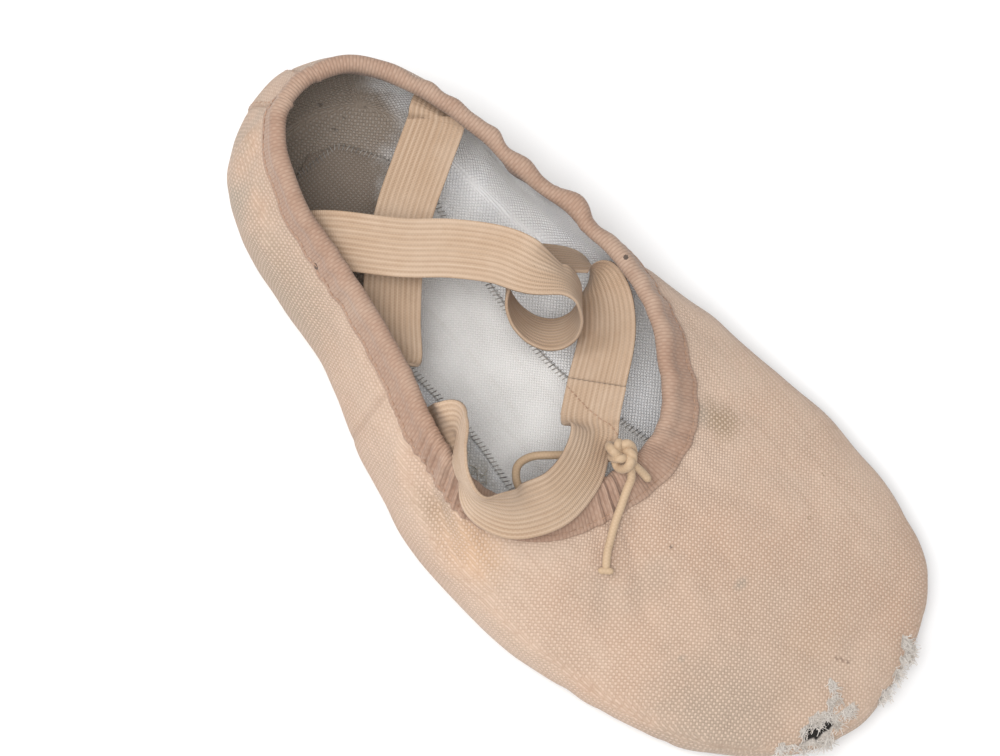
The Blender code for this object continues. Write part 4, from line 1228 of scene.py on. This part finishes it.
def sewn_end(position):
    """The rows of a strap's end that lies sewn against the wall, from its tip up to the tape."""
    beside = -CANVAS - SEAT_CLEAR - ELASTIC / 2
    past_tape = beside - BINDING_INSIDE - 3 * GAP
    rungs = (
        (SEWN_DEPTH, beside),
        ((SEWN_DEPTH + BINDING_WIDTH) / 2, beside),
        (BINDING_WIDTH + 1.5 * MM, past_tape),
    )
    rows = []
    for down, out in rungs:
        width = plain_wall(position + 1, down, out) - plain_wall(position - 1, down, out)
        width *= np.sign(width[1]) / np.linalg.norm(width)
        rows.append((*plain_wall(position, down, out), *width))
    return rows


def along_wall(seats):
    """The rows of a strap's end that comes down to the wall and lies along it."""
    rows = []
    for position, down, clear in seats:
        half = ELASTIC_WIDTH / 2
        out = -CANVAS - clear * MM - ELASTIC / 2
        width = plain_wall(position, down * MM + half, out) - plain_wall(position, down * MM - half, out)
        rows.append((*plain_wall(position, down * MM, out), *unit(width)))
    return rows


def curl_rows():
    """One loose turn of the long strap, which spirals down so that it passes under itself."""
    middle = foot_place(*CURL_CENTRE)
    rows = []
    for turn in np.linspace(CURL_FIRST, CURL_LAST, CURL_STEPS):
        done = (CURL_FIRST - turn) / (CURL_FIRST - CURL_LAST)
        rise = CURL_UP + (CURL_END - CURL_UP) * done**2
        sunk = CURL_PITCH * (CURL_FIRST - turn) / math.tau - CURL_LEAD
        way = CURL_ALONG * math.cos(turn) * CURL_FORWARD + rise * math.sin(turn) * CURL_RISE
        rows.append((*(middle + way - sunk * CURL_AXIS), *CURL_AXIS))
    return rows


# %% Finish: ribbed elastic
ELASTIC_TAN, ELASTIC_PALE = (0.455, 0.31, 0.205), (0.53, 0.385, 0.275)
ELASTIC_GROOVE_SHADE, ELASTIC_HIGHLIGHT_LINE, ELASTIC_HIGHLIGHT = (0.25, 0.155, 0.095), (0.63, 0.49, 0.37), (0.61, 0.47, 0.35)
elastic_finish, tree, given = new_finish("ribbed_elastic", roughness=0.62, sheen=0.10)
place = given["Place"]
knit = use(tree, ribs, Map=given["Map"], Along=0.00045, Across=0.0007)
colour = tint(tree, clouds(tree, place, scale=70.0, start=0.35, end=0.7), ELASTIC_TAN, ELASTIC_PALE)
lines = noise(tree, vector(tree, "MULTIPLY", given["Map"], (30.0, 2600.0, 0.0)), 1.0, 2.0)
# Painted highlight lines along the ribs.
colour = layer(tree, colour, fade(tree, lines, 0.42, 0.62), ELASTIC_HIGHLIGHT_LINE, strength=0.38)
# Painted shade in the grooves between the ribs.
colour = layer(tree, colour, painted_on(tree, "groove"), ELASTIC_GROOVE_SHADE, strength=0.40)
# Painted highlights on the ribs' tops.
colour = layer(tree, colour, knit["Dots"], ELASTIC_HIGHLIGHT, strength=0.15)
colour = specked(tree, place, colour, BROWN_DIRT, scale=190.0, size=0.09, share=0.04, strength=0.6)
complete(tree, colour, knit["Height"], depth=0.10 * MM, strength=0.8)

# %% Ribbed ribbons
RIBS = 11
POINTS_TO_A_RIB = 5
GROOVE = 0.17 * MM


def rib_section():
    """The ribbon's closed section as places across its width and its thickness, and how grooved each is."""
    count = RIBS * POINTS_TO_A_RIB
    share = np.linspace(-1, 1, count + 1)
    depth = np.abs(np.cos(math.pi * RIBS * (share + 1) / 2)) ** 3
    depth[0] = depth[-1] = 0.6
    half = ELASTIC / 2 - GROOVE * depth
    across = share * ELASTIC_WIDTH / 2
    over = np.concatenate([across, across[::-1]])
    high = np.concatenate([half, -half[::-1]])
    return over, high, np.concatenate([depth, depth[::-1]])


def ribbon(name, rows, steps):
    """A ribbed elastic along rows of middle points, each with the way that its width points."""
    run = open_spline(rows, steps)
    middle, across = run[:, :3], run[:, 3:]
    ahead = unit(np.gradient(middle, axis=0))
    across = unit(across - ahead * (across * ahead).sum(axis=1)[:, None])
    facing = np.cross(across, ahead)
    over, high, grooved = rib_section()
    rings = middle[:, None] + across[:, None] * over[:, None] + facing[:, None] * high[:, None]
    travel, around = run_along(middle), run_along(np.column_stack([over, high]))
    mesh = skin(name, rings, elastic_finish, False, travel, np.append(around, around[-1]))
    carry(mesh, "groove", np.tile(grooved, len(rings)))
    print(name, round(float(travel[-1]), 3), "m long")
    return mesh, middle, across, facing


first, last = [sewn_end(position) for position in CROSS_SEATS]
cross_mesh, *_ = ribbon("heel_elastic", first + strap_rows(STRAP_CROSS) + last[::-1], 190)
new_piece("heel_elastic", cross_mesh, "elastic", "strap_cross")
end = strap_rows(STRAP_LONG_END)
long_rows = sewn_end(LONG_SEAT) + strap_rows(STRAP_LONG_START) + curl_rows() + end
long_mesh, *_ = ribbon("long_elastic", long_rows, 360)
new_piece("long_elastic", long_mesh, "elastic", "strap_long")
lapped = [(x, y, z + ELASTIC + 3 * GAP, *width) for x, y, z, *width in end[-2:]]
front_rows = lapped + strap_rows(STRAP_FRONT) + along_wall(FRONT_SEAT)
front_mesh, front_middle, front_across, front_facing = ribbon("front_elastic", front_rows, 250)
new_piece("front_elastic", front_mesh, "elastic", "strap_front")

# %% [markdown]
# ## The suede soles
#
# Two flat patches of suede carry the weight, an oval under the ball and a smaller one under the heel.
# Each is skinned from its outline inwards, ring by ring, so that its edge can be worn round. Its nap
# is fine relief. A faint grid is pressed into the front patch, as grip.

# %% Finish: dirty suede
SUEDE_GREY, SUEDE_PALE, SUEDE_PRESSED = (0.075, 0.072, 0.056), (0.19, 0.18, 0.135), (0.34, 0.32, 0.26)
suede_finish, tree, given = new_finish("dirty_suede", roughness=0.95, sheen=0.2)
place = given["Place"]
nap = noise(tree, place, scale=900.0, detail=5.0, rough=0.7)
colour = tint(tree, clouds(tree, place, scale=60.0, start=0.35, end=0.7), SUEDE_PALE, SUEDE_GREY)
colour = layer(tree, colour, fade(tree, nap, 0.35, 0.65), SUEDE_PALE, strength=0.35)
colour = specked(tree, place, colour, BLACK_DIRT, scale=520.0, size=0.26, share=0.5, strength=0.85)
colour = layer(tree, colour, painted_on(tree, "pressed"), SUEDE_PRESSED, strength=0.55)
complete(tree, colour, nap, depth=0.25 * MM, strength=0.9)

# %% Suede patches
SOLE_SIDE_STEPS = 110
SOLE_RINGS = 46
FORE_SOLE = {"length": 84 * MM, "width": 57 * MM, "near_round": 0.80, "near_point": 0.50}
HEEL_SOLE = {"length": 58 * MM, "width": 41 * MM, "near_round": 0.66, "near_point": 0.76}
FORE_SOLE_FROM_TOE = 34 * MM
HEEL_SOLE_FROM_HEEL = 13 * MM
FORE_SOLE_INWARD = 1 * MM
SOLE_LEVELS = (
    # mm high, mm in from the edge
    (0.9, 0.0), (0.55, -0.05), (0.25, 0.05), (0.08, 0.30), (0.0, 0.70),
)
SOLE_HEART = 0.47
NAP_RISE = 0.10 * MM
GRID_PITCH, GRID_DEPTH, GRID_LINE, GRID_FROM_RING = 4.2 * MM, 0.22 * MM, 0.20, 8


def sole_outline(length, width, near_round, near_point):
    """A pattern piece round at its first end and pointed at the other."""
    share = (1 - np.cos(np.linspace(0, math.pi, SOLE_SIDE_STEPS + 1))) / 2
    half = width / 2 * np.sin(math.pi * share**near_round) ** near_point
    half[-1] = 0.0
    side = np.stack([half, share * length], axis=1)
    return np.vstack([side, side[-2:0:-1] * (-1, 1)])


def shrunk(outline, by):
    """The outline moved inwards by a distance, for the rounded edge and the stitches."""
    along = np.roll(outline, -1, axis=0) - np.roll(outline, 1, axis=0)
    out = unit(np.stack([along[:, 1], -along[:, 0]], axis=1))
    return outline - out * by


def suede_patch(name, shape, place, grid, node):
    """A flat patch: a thin closed skin from its top edge, round its worn rim and in over the sole."""
    x0, y0, way = place
    outline = sole_outline(**shape)
    loops = [(shrunk(outline, inset * MM), high * MM) for high, inset in SOLE_LEVELS]
    last_edge = loops[-1][0]
    heart = np.array([0.0, shape["length"] * SOLE_HEART])
    for t in np.linspace(0, 1, SOLE_RINGS)[1:-1]:
        loops.append((last_edge + (heart - last_edge) * t, 0.0))
    rings = np.array([
        np.column_stack([x0 + flat[:, 0] * way, y0 + flat[:, 1] * way, np.full(len(flat), high)])
        for flat, high in loops
    ]) - ORIGIN
    under = rings[len(SOLE_LEVELS) - 1 :]
    under[:, :, 2] += NAP_RISE * (1 + 0.6 * ripple(under, 2.5 * MM, 21))
    pressed = np.zeros(rings.shape[:2])
    if grid:
        lines = [np.abs(np.sin(math.pi * rings[:, :, axis] / GRID_PITCH)) for axis in (0, 1)]
        line = np.maximum(*(smooth((GRID_LINE - each) / GRID_LINE) for each in lines))
        shown = smooth(0.7 + 0.8 * ripple(rings, 30 * MM, 22))
        pressed = line * shown * (np.arange(len(rings)) >= GRID_FROM_RING)[:, None]
        rings[:, :, 2] += GRID_DEPTH * pressed
    mesh = skin(name, rings, suede_finish)
    carry(mesh, "pressed", pressed)
    mesh.flip_normals()
    new_piece(name, mesh, "suede", node)
    print(name, len(rings) * len(outline), "points")
    return np.column_stack([x0 + outline[:, 0] * way, y0 + outline[:, 1] * way]) - ORIGIN[:2]


fore_y = LENGTH - FORE_SOLE_FROM_TOE
fore_place = (centre(fore_y / LENGTH - 0.15) - FORE_SOLE_INWARD, fore_y, -1)
heel_place = (0.0, HEEL_SOLE_FROM_HEEL, 1)
fore_edge = suede_patch("forefoot_suede", FORE_SOLE, fore_place, True, "sole_forefoot")
heel_edge = suede_patch("heel_suede", HEEL_SOLE, heel_place, False, "sole_heel")

# %% [markdown]
# ## The insole
#
# A thin off-white twill pad lies loose on the lining. It follows the canvas under it, is narrow in the
# arch, and its edge is overlocked with a grey thread, which is made with the other stitches.

# %% Finish: twill
TWILL, TWILL_SHADE, TWILL_HEEL = (0.79, 0.775, 0.76), (0.66, 0.64, 0.62), (0.20, 0.15, 0.11)
TWILL_DIRT, TWILL_HIGHLIGHT, TWILL_GAP_SHADE = (0.50, 0.45, 0.39), (0.86, 0.85, 0.83), (0.55, 0.52, 0.48)
twill_finish, tree, given = new_finish("white_twill", roughness=0.9, sheen=0.1)
place = given["Place"]
cloth = use(tree, weave, Place=place, Facing=given["Facing"], Pitch=0.001)
shaded = clouds(tree, place, scale=50.0, start=0.42, end=0.75)
colour = layer(tree, TWILL, shaded, TWILL_SHADE, strength=0.5)
streaks = noise(tree, vector(tree, "MULTIPLY", place, (1.0, 0.12, 1.0)), 260.0, 4.0)
colour = layer(tree, colour, fade(tree, streaks, 0.52, 0.74), TWILL_DIRT, strength=0.16)
at_heel = use(tree, heel_dirt_and_shade, Place=place)["Mask"]
# TWILL_HEEL darkens the pad's heel end: partly dirt and partly painted shade.
colour = layer(tree, colour, at_heel, TWILL_HEEL, strength=0.94)
colour = white_threads(tree, colour, cloth, at_heel, TWILL_HIGHLIGHT, TWILL_GAP_SHADE, strength=0.10)
complete(tree, colour, cloth["Height"], depth=0.22 * MM, strength=0.8)

# %% Insole
INSOLE = 1.3 * MM
INSOLE_HEEL, INSOLE_WAIST, INSOLE_BALL = 20 * MM, 17.5 * MM, 23.5 * MM
INSOLE_FROM_HEEL = 16 * MM
INSOLE_FROM_TOE = 44 * MM
INSOLE_ROWS = (
    # share, half width followed, lateral, medial
    (0.00, INSOLE_HEEL, 0.0, 0.0),
    (0.03, INSOLE_HEEL, 0.48, 0.48),
    (0.14, INSOLE_HEEL, 1.00, 0.95),
    (0.30, INSOLE_HEEL, 1.00, 0.76),
    (0.50, INSOLE_WAIST, 1.09, 0.64),
    (0.68, INSOLE_BALL, 0.98, 0.68),
    (0.84, INSOLE_BALL, 1.00, 0.98),
    (0.96, INSOLE_BALL, 0.55, 0.60),
    (1.00, INSOLE_BALL, 0.0, 0.0),
)
INSOLE_STATIONS, INSOLE_ACROSS = 150, 36
LEAST_HALF = 0.0002
EDGE_THINNED, INSOLE_WAVES = 0.35, 0.22 * MM
EDGE_ROLL = 0.6 * MM


def insole_rings():
    """Closed sections of the pad, one at each station along the foot."""
    length = LENGTH - INSOLE_FROM_HEEL - INSOLE_FROM_TOE
    rows = [(share, half * lateral, half * medial) for share, half, lateral, medial in INSOLE_ROWS]
    stations = open_spline(rows, INSOLE_STATIONS)
    way = np.linspace(-1, 1, INSOLE_ACROSS)
    rings = []
    for share, lateral, medial in stations:
        y = INSOLE_FROM_HEEL + share * length
        half = np.where(way > 0, max(lateral, LEAST_HALF), max(medial, LEAST_HALF))
        x = centre(y / LENGTH) + way * half
        level = floor_height(np.array([y])) + CANVAS + GAP
        top = level + INSOLE * (1 - EDGE_THINNED * np.abs(way) ** 14)
        upper_side = np.column_stack([x, np.full(len(x), y), top])
        lower_side = np.column_stack([x, np.full(len(x), y), np.full(len(x), level)])[::-1]
        rings.append(np.vstack([upper_side, lower_side]))
    rings = np.array(rings) - ORIGIN
    rings[:, :INSOLE_ACROSS, 2] += INSOLE_WAVES * ripple(rings[:, :INSOLE_ACROSS], 16 * MM, 31)
    return rings


pad_rings = insole_rings()
insole_mesh = skin("twill_insole", pad_rings, twill_finish)
new_piece("twill_insole", insole_mesh, "insole", "insole")
pad_edge = np.vstack([pad_rings[3:-3, INSOLE_ACROSS - 1], pad_rings[3:-3, 0][::-1]])
roll_mesh = tube("insole_edge_roll", pad_edge, EDGE_ROLL, twill_finish, 8, loop=True)
new_piece("insole_edge_roll", roll_mesh, "insole")
print("insole", len(insole_mesh.vertices), "points")

# %% [markdown]
# ## Stitches
#
# Every sewn line is the same thing: one short thread, repeated along a path and turned to follow it.
# That is what Geometry Nodes are for. The tree takes a bare line that carries the surface's direction,
# cuts it into even steps, and puts a thread on each point. Real seams wander a little, so each thread
# is turned by a small seeded angle.

# %% Helpers that both trees share
GEOMETRY, WHOLE, MATERIAL = "NodeSocketGeometry", "NodeSocketInt", "NodeSocketMaterial"


def stored_way(tree):
    """The direction that each bare point carries."""
    inputs = {"Name": "facing"}
    return add(tree, "GeometryNodeInputNamedAttribute", inputs, data_type="FLOAT_VECTOR").outputs[0]


def drawn(tree, seed, low, high):
    """A number for each point, drawn from a seed between two limits."""
    made = add(tree, "FunctionNodeRandomValue", {"Seed": seed}, data_type="FLOAT")
    made.inputs[2].default_value, made.inputs[3].default_value = low, high
    return made.outputs[1]


def spun(tree, rotation, angle):
    """A rotation turned further about its own upright."""
    inputs = {"Rotation": rotation, "Rotate By": joined(tree, 0.0, 0.0, angle)}
    return add(tree, "FunctionNodeRotateRotation", inputs, rotation_space="LOCAL").outputs[0]


def planted(tree, material, result, **inputs):
    """Copies an instance onto points, makes the copies real, and gives them their material."""
    made = add(tree, "GeometryNodeInstanceOnPoints", inputs)
    made = add(tree, "GeometryNodeRealizeInstances", {"Geometry": made.outputs[0]})
    made = add(tree, "GeometryNodeSetShadeSmooth", {"Geometry": made.outputs[0]})
    made = add(tree, "GeometryNodeSetMaterial", {"Geometry": made.outputs[0], "Material": material})
    wire(tree, made.outputs[0], result)


# %% Geometry Nodes tree: a row of stitches
stitch_tree, given, gives = new_group(
    "stitch_row",
    [("Line", GEOMETRY, None), ("Spacing", FLOAT, 0.0026), ("Length", FLOAT, 0.002),
     ("Thickness", FLOAT, 0.0004), ("Slant", FLOAT, 0.0), ("Seed", WHOLE, 1), ("Thread", MATERIAL, None)],
    [("Stitches", GEOMETRY)],
    "GeometryNodeTree",
)
STITCH_WOBBLE = 0.16
curve = add(stitch_tree, "GeometryNodeMeshToCurve", {"Mesh": given["Line"]}).outputs[0]
stepped = {"Curve": curve, "Length": given["Spacing"]}
stepped = add(stitch_tree, "GeometryNodeResampleCurve", stepped, mode="LENGTH").outputs[0]
ball = add(stitch_tree, "GeometryNodeMeshUVSphere", {"Segments": 6, "Rings": 4, "Radius": 0.5}).outputs[0]
stretch = joined(stitch_tree, given["Length"], given["Thickness"], given["Thickness"])
stitch = add(stitch_tree, "GeometryNodeTransform", {"Geometry": ball, "Scale": stretch}).outputs[0]
tangent = stitch_tree.nodes.new("GeometryNodeInputTangent").outputs[0]
turned = add(stitch_tree, "FunctionNodeAlignRotationToVector", {"Vector": tangent}, axis="X").outputs[0]
turned = add(
    stitch_tree, "FunctionNodeAlignRotationToVector",
    {"Rotation": turned, "Vector": stored_way(stitch_tree)}, axis="Z", pivot_axis="X").outputs[0]
wobble = drawn(stitch_tree, given["Seed"], -STITCH_WOBBLE, STITCH_WOBBLE)
turned = spun(stitch_tree, turned, calc(stitch_tree, "ADD", given["Slant"], wobble))
planted(stitch_tree, given["Thread"], gives["Stitches"], Points=stepped, Instance=stitch, Rotation=turned)


# %% Helpers that run a tree and keep its result
def socket_of(tree, label):
    """The identifier of a tree's input, which a modifier needs in place of its name."""
    return next(i.identifier for i in tree.interface.items_tree if i.name == label and i.in_out == "INPUT")


def bare_lines(name, lines):
    """A mesh of edges alone. Each line is its points, the surface's direction there, and if it closes."""
    points, facings, edges = [], [], []
    for path, facing, closed in lines:
        first, count = len(points), len(path)
        points += [tuple(p) for p in path]
        facings += [tuple(f) for f in np.broadcast_to(facing, np.shape(path))]
        edges += [(first + i, first + i + 1) for i in range(count - 1)]
        if closed:
            edges.append((first + count - 1, first))
    mesh = bpy.data.meshes.new(name)
    mesh.from_pydata(points, edges, [])
    carry(mesh, "facing", facings, "FLOAT_VECTOR")
    return mesh


def grown(name, mesh, tree, slot, **sizes):
    """Runs a tree on a mesh and keeps what it makes as a plain mesh, riding on the slipper."""
    piece = bpy.data.objects.new(name, mesh)
    bpy.context.scene.collection.objects.link(piece)
    modifier = piece.modifiers.new("repeat", "NODES")
    modifier.node_group = tree
    for label, value in sizes.items():
        modifier[socket_of(tree, label)] = value
    bpy.context.view_layer.update()
    seen = piece.evaluated_get(bpy.context.evaluated_depsgraph_get())
    piece.data = bpy.data.meshes.new_from_object(seen)
    piece.modifiers.clear()
    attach(piece, "root")
    print(name, len(piece.data.polygons), "faces")
    return piece


def thread_finish(name, colour, shade):
    """Sewing thread: one colour with darker dirt on it and a fine twist."""
    made, tree, given = new_finish(name, roughness=0.7, sheen=0.1)
    colour = tint(tree, clouds(tree, given["Place"], scale=300.0, start=0.45, end=0.7), colour, shade)
    fuzz = noise(tree, given["Place"], scale=2500.0, detail=2.0)
    complete(tree, colour, fuzz, depth=0.05 * MM, strength=0.5)
    return made


def sew(name, lines, slot, thread, seed, spacing, length, thickness, slant=0.0):
    """A row of stitches on lines, with its spacing, length and thickness in millimetres."""
    grown(name, bare_lines(name, lines), stitch_tree, slot, Spacing=spacing * MM, Length=length * MM,
          Thickness=thickness * MM, Slant=slant, Seed=seed, Thread=thread)


# %% Stitches on the tape, the heel strip, the soles, the insole and the lap joint
peach_thread = thread_finish("peach_thread", (0.40, 0.25, 0.17), (0.24, 0.14, 0.09))
ochre_thread = thread_finish("ochre_thread", (0.48, 0.30, 0.12), (0.20, 0.14, 0.08))
grey_thread = thread_finish("grey_thread", (0.40, 0.37, 0.34), (0.10, 0.09, 0.08))
dark_thread = thread_finish("dark_thread", (0.10, 0.085, 0.07), (0.05, 0.04, 0.035))

ON_CLOTH = 0.05 * MM
DOWN_LINE_END, DOWN_LINE_POINTS = 40, 40
UP, UNDER = np.array([0.0, 0.0, 1.0]), np.array([0.0, 0.0, -1.0])
SOLE_STITCH_HIGH = 0.16 * MM
LAP_FROM, LAP_TO = 0.03, 0.13
BACK_SEAM_AT, LEVEL_SEAM_DOWN = (8.5, 72.0), 24 * MM


def down_lines(points, ways, at_positions, start):
    """Lines down the wall at ring positions, from so many millimetres below the rim."""
    down_line = np.linspace(start, DOWN_LINE_END, DOWN_LINE_POINTS) * MM
    return [
        beside_wall(points, ways, np.full(DOWN_LINE_POINTS, at), down_line, ON_CLOTH) + (False,)
        for at in at_positions
    ]


def sole_row(edge, inset):
    """A stitched line on a sole, a set distance inside the patch's edge."""
    flat = shrunk(edge, inset)
    return np.column_stack([flat, np.full(len(flat), SOLE_STITCH_HIGH)]), UNDER, True


tape_down, tape_out = 7.4 * MM + PUCKER_DOWN * pucker, 0.95 * MM + 0.7 * pucker
tape_line = [beside_wall(OUTER, BASE_OUT, tape_at, tape_down, tape_out) + (True,)]
sew("tape_stitches", tape_line, "binding", peach_thread,
    seed=5, spacing=2.3, length=1.9, thickness=0.34)
strip_lines = down_lines(OUTER, BASE_OUT, (STRIP_EDGES[0] + 0.22, STRIP_EDGES[1] - 0.22), 9.6)
sew("heel_strip_stitches", strip_lines, "canvas", peach_thread,
    seed=6, spacing=2.4, length=1.9, thickness=0.32)
inner_lines = down_lines(INNER, -BASE_OUT, (*STRIP_EDGES, *BACK_SEAM_AT), 9)
level_line = np.linspace(-7.5, 8.3, 90)
inner_lines.append(beside_wall(INNER, -BASE_OUT, level_line, LEVEL_SEAM_DOWN, ON_CLOTH) + (False,))
sew("heel_lining_stitches", inner_lines, "canvas", dark_thread,
    seed=7, spacing=2.0, length=1.7, thickness=0.28)
sole_lines = [sole_row(fore_edge, 1.8 * MM), sole_row(heel_edge, 1.7 * MM), sole_row(heel_edge, 3.2 * MM)]
sew("sole_stitches", sole_lines, "suede", ochre_thread,
    seed=8, spacing=2.6, length=2.1, thickness=0.50)
overlock = [(pad_edge + (0, 0, EDGE_ROLL), UP, True)]
sew("insole_overlock", overlock, "insole", grey_thread,
    seed=9, spacing=1.3, length=2.6, thickness=0.36, slant=1.25)
lap_share = np.linspace(0, 1, 20)
lap_at = ((LAP_FROM + (LAP_TO - LAP_FROM) * lap_share) * (len(front_middle) - 1)).astype(int)
lap_path = front_middle[lap_at] + front_across[lap_at] * (lap_share * 2 - 1)[:, None] * 0.46 * ELASTIC_WIDTH
lap_sides = []
for side in (-1, 1):
    way = front_facing[lap_at] * side
    lap_sides.append((lap_path + way * 0.62 * ELASTIC, way, False))
sew("lap_stitches", lap_sides, "elastic", peach_thread,
    seed=10, spacing=1.5, length=1.3, thickness=0.35)

# %% [markdown]
# ## Frayed threads and fluff
#
# Where the canvas is worn through, broken threads stand up around the tear, and lint has gathered in
# the slipper beside the insole. Both are one small bent hair, repeated on points that carry the way
# it grows, with its length and its turn drawn from a fixed seed.

# %% Geometry Nodes tree: bent hairs
hair_tree, given, gives = new_group(
    "bent_hairs",
    [("Roots", GEOMETRY, None), ("Length", FLOAT, 0.003), ("Thickness", FLOAT, 0.0002),
     ("Seed", WHOLE, 1), ("Thread", MATERIAL, None)],
    [("Hairs", GEOMETRY)],
    "GeometryNodeTree",
)
SHORTEST, LONGEST = 0.45, 1.35
bow = {"Resolution": 5, "Start": (0, 0, 0), "Middle": (0.15, 0.05, 0.6), "End": (0.65, 0.25, 0.8)}
bow = add(hair_tree, "GeometryNodeCurveQuadraticBezier", bow).outputs[0]
ring = {"Resolution": 3, "Radius": given["Thickness"]}
ring = add(hair_tree, "GeometryNodeCurvePrimitiveCircle", ring).outputs[0]
enlarged = {"Geometry": bow, "Scale": joined(hair_tree, *[given["Length"]] * 3)}
enlarged = add(hair_tree, "GeometryNodeTransform", enlarged).outputs[0]
hair = {"Curve": enlarged, "Profile Curve": ring, "Fill Caps": True}
hair = add(hair_tree, "GeometryNodeCurveToMesh", hair).outputs[0]
way = {"Vector": stored_way(hair_tree)}
turned = add(hair_tree, "FunctionNodeAlignRotationToVector", way, axis="Z").outputs[0]
turned = spun(hair_tree, turned, drawn(hair_tree, given["Seed"], 0.0, math.tau))
longer = drawn(hair_tree, given["Seed"], SHORTEST, LONGEST)
planted(hair_tree, given["Thread"], gives["Hairs"],
        Points=given["Roots"], Instance=hair, Rotation=turned, Scale=longer)

# %% Hairs around the tears and lint beside the insole
draw = np.random.default_rng(41)
fluff_thread = thread_finish("pale_fluff", (0.76, 0.71, 0.66), (0.50, 0.44, 0.38))
lint_thread = thread_finish("beige_lint", (0.74, 0.69, 0.61), (0.50, 0.45, 0.38))


def hair_roots(name, points, ways, spread):
    """Bare points that carry a direction each, bent from the surface's by a random lean."""
    leaning = unit(ways + draw.normal(size=ways.shape) * spread)
    mesh = bpy.data.meshes.new(name)
    mesh.from_pydata(points.tolist(), [], [])
    carry(mesh, "facing", leaning, "FLOAT_VECTOR")
    return mesh


FRAY_HAIRS, FRAY_SCATTER = 1500, 0.45 * MM
fray_rows, fray_columns = np.where((torn > 0.5) & (gap < 0.1))
pick = draw.choice(len(fray_rows), FRAY_HAIRS)
fray_at = (fray_rows[pick], fray_columns[pick])
fray_points = OUTER[fray_at] + draw.normal(size=(FRAY_HAIRS, 3)) * FRAY_SCATTER
downwards = unit(np.gradient(OUTER, axis=0)[fray_at])
fray = hair_roots("toe_fray", fray_points, downwards * 0.9 + BASE_OUT[fray_at] * 0.35, 0.36)
grown("toe_fray", fray, hair_tree, "canvas",
      Length=2.0 * MM, Thickness=0.09 * MM, Seed=14, Thread=fluff_thread)

LINT_HAIRS = 380
LINT_UP = 0.6
LINT_PATCH = ((27.0, 38.0), (-36.0, 14.0))
lint_flat = np.column_stack([draw.uniform(low, high, LINT_HAIRS) for low, high in LINT_PATCH]) * MM
lint_high = floor_height(lint_flat[:, 1] + ORIGIN[1]) + CANVAS
lint_points = np.column_stack([lint_flat, lint_high])
lint_ways = np.tile([0.0, 0.0, LINT_UP], (LINT_HAIRS, 1))
lint = hair_roots("insole_lint", lint_points, lint_ways, spread=0.9)
grown("insole_lint", lint, hair_tree, "canvas",
      Length=3.4 * MM, Thickness=0.16 * MM, Seed=15, Thread=lint_thread)

# %% [markdown]
# ## Floor and light
#
# The slipper lies on a plain pale floor. Two large soft lights stand over it, one beyond the heel's
# outer side and one nearly overhead, and an even pale surrounding fills the rest.

# %% Floor and lights
bpy.context.scene.view_settings.view_transform = "Standard"
FLOOR_HALF, FLOOR_LEVEL = 3.0, -0.1 * MM
LIGHTS = (
    # name, place, size, power, colour
    ("key_light", (0.75, -0.85, 1.25), 0.9, 9.0, (1.0, 0.985, 0.96)),
    ("top_light", (0.48, 0.15, 1.50), 0.7, 19.0, (1.0, 1.0, 1.0)),
)
LIT_POINT = (0, 0, 0.02)
WORLD_COLOUR, WORLD_STRENGTH = (0.96, 0.98, 1.0, 1), 0.55
floor_mesh = bpy.data.meshes.new("floor")
floor_mesh.from_pydata([
    (x * FLOOR_HALF, y * FLOOR_HALF, FLOOR_LEVEL) for x, y in ((-1, -1), (1, -1), (1, 1), (-1, 1))
], [], [(0, 1, 2, 3)])
floor = bpy.data.objects.new("floor", floor_mesh)
bpy.context.scene.collection.objects.link(floor)
floor_finish, tree, _ = new_finish("pale_floor", roughness=0.8)
tree.nodes["Principled BSDF"].inputs["Base Color"].default_value = (0.90, 0.90, 0.90, 1)
floor_mesh.materials.append(floor_finish)
for name, place, size, power, colour in LIGHTS:
    lamp = bpy.data.lights.new(name, "AREA")
    lamp.size, lamp.energy, lamp.color = size, power, colour
    light = bpy.data.objects.new(name, lamp)
    back = unit(np.array(place, dtype=float) - LIT_POINT)
    side = unit(np.cross((0, 0, 1), back))
    light.matrix_world = standing_at(place, side, np.cross(back, side), back)
    bpy.context.scene.collection.objects.link(light)
world = bpy.data.worlds.new("pale_surrounding")
world.use_nodes = True
world.node_tree.nodes["Background"].inputs["Color"].default_value = WORLD_COLOUR
world.node_tree.nodes["Background"].inputs["Strength"].default_value = WORLD_STRENGTH
bpy.context.scene.world = world
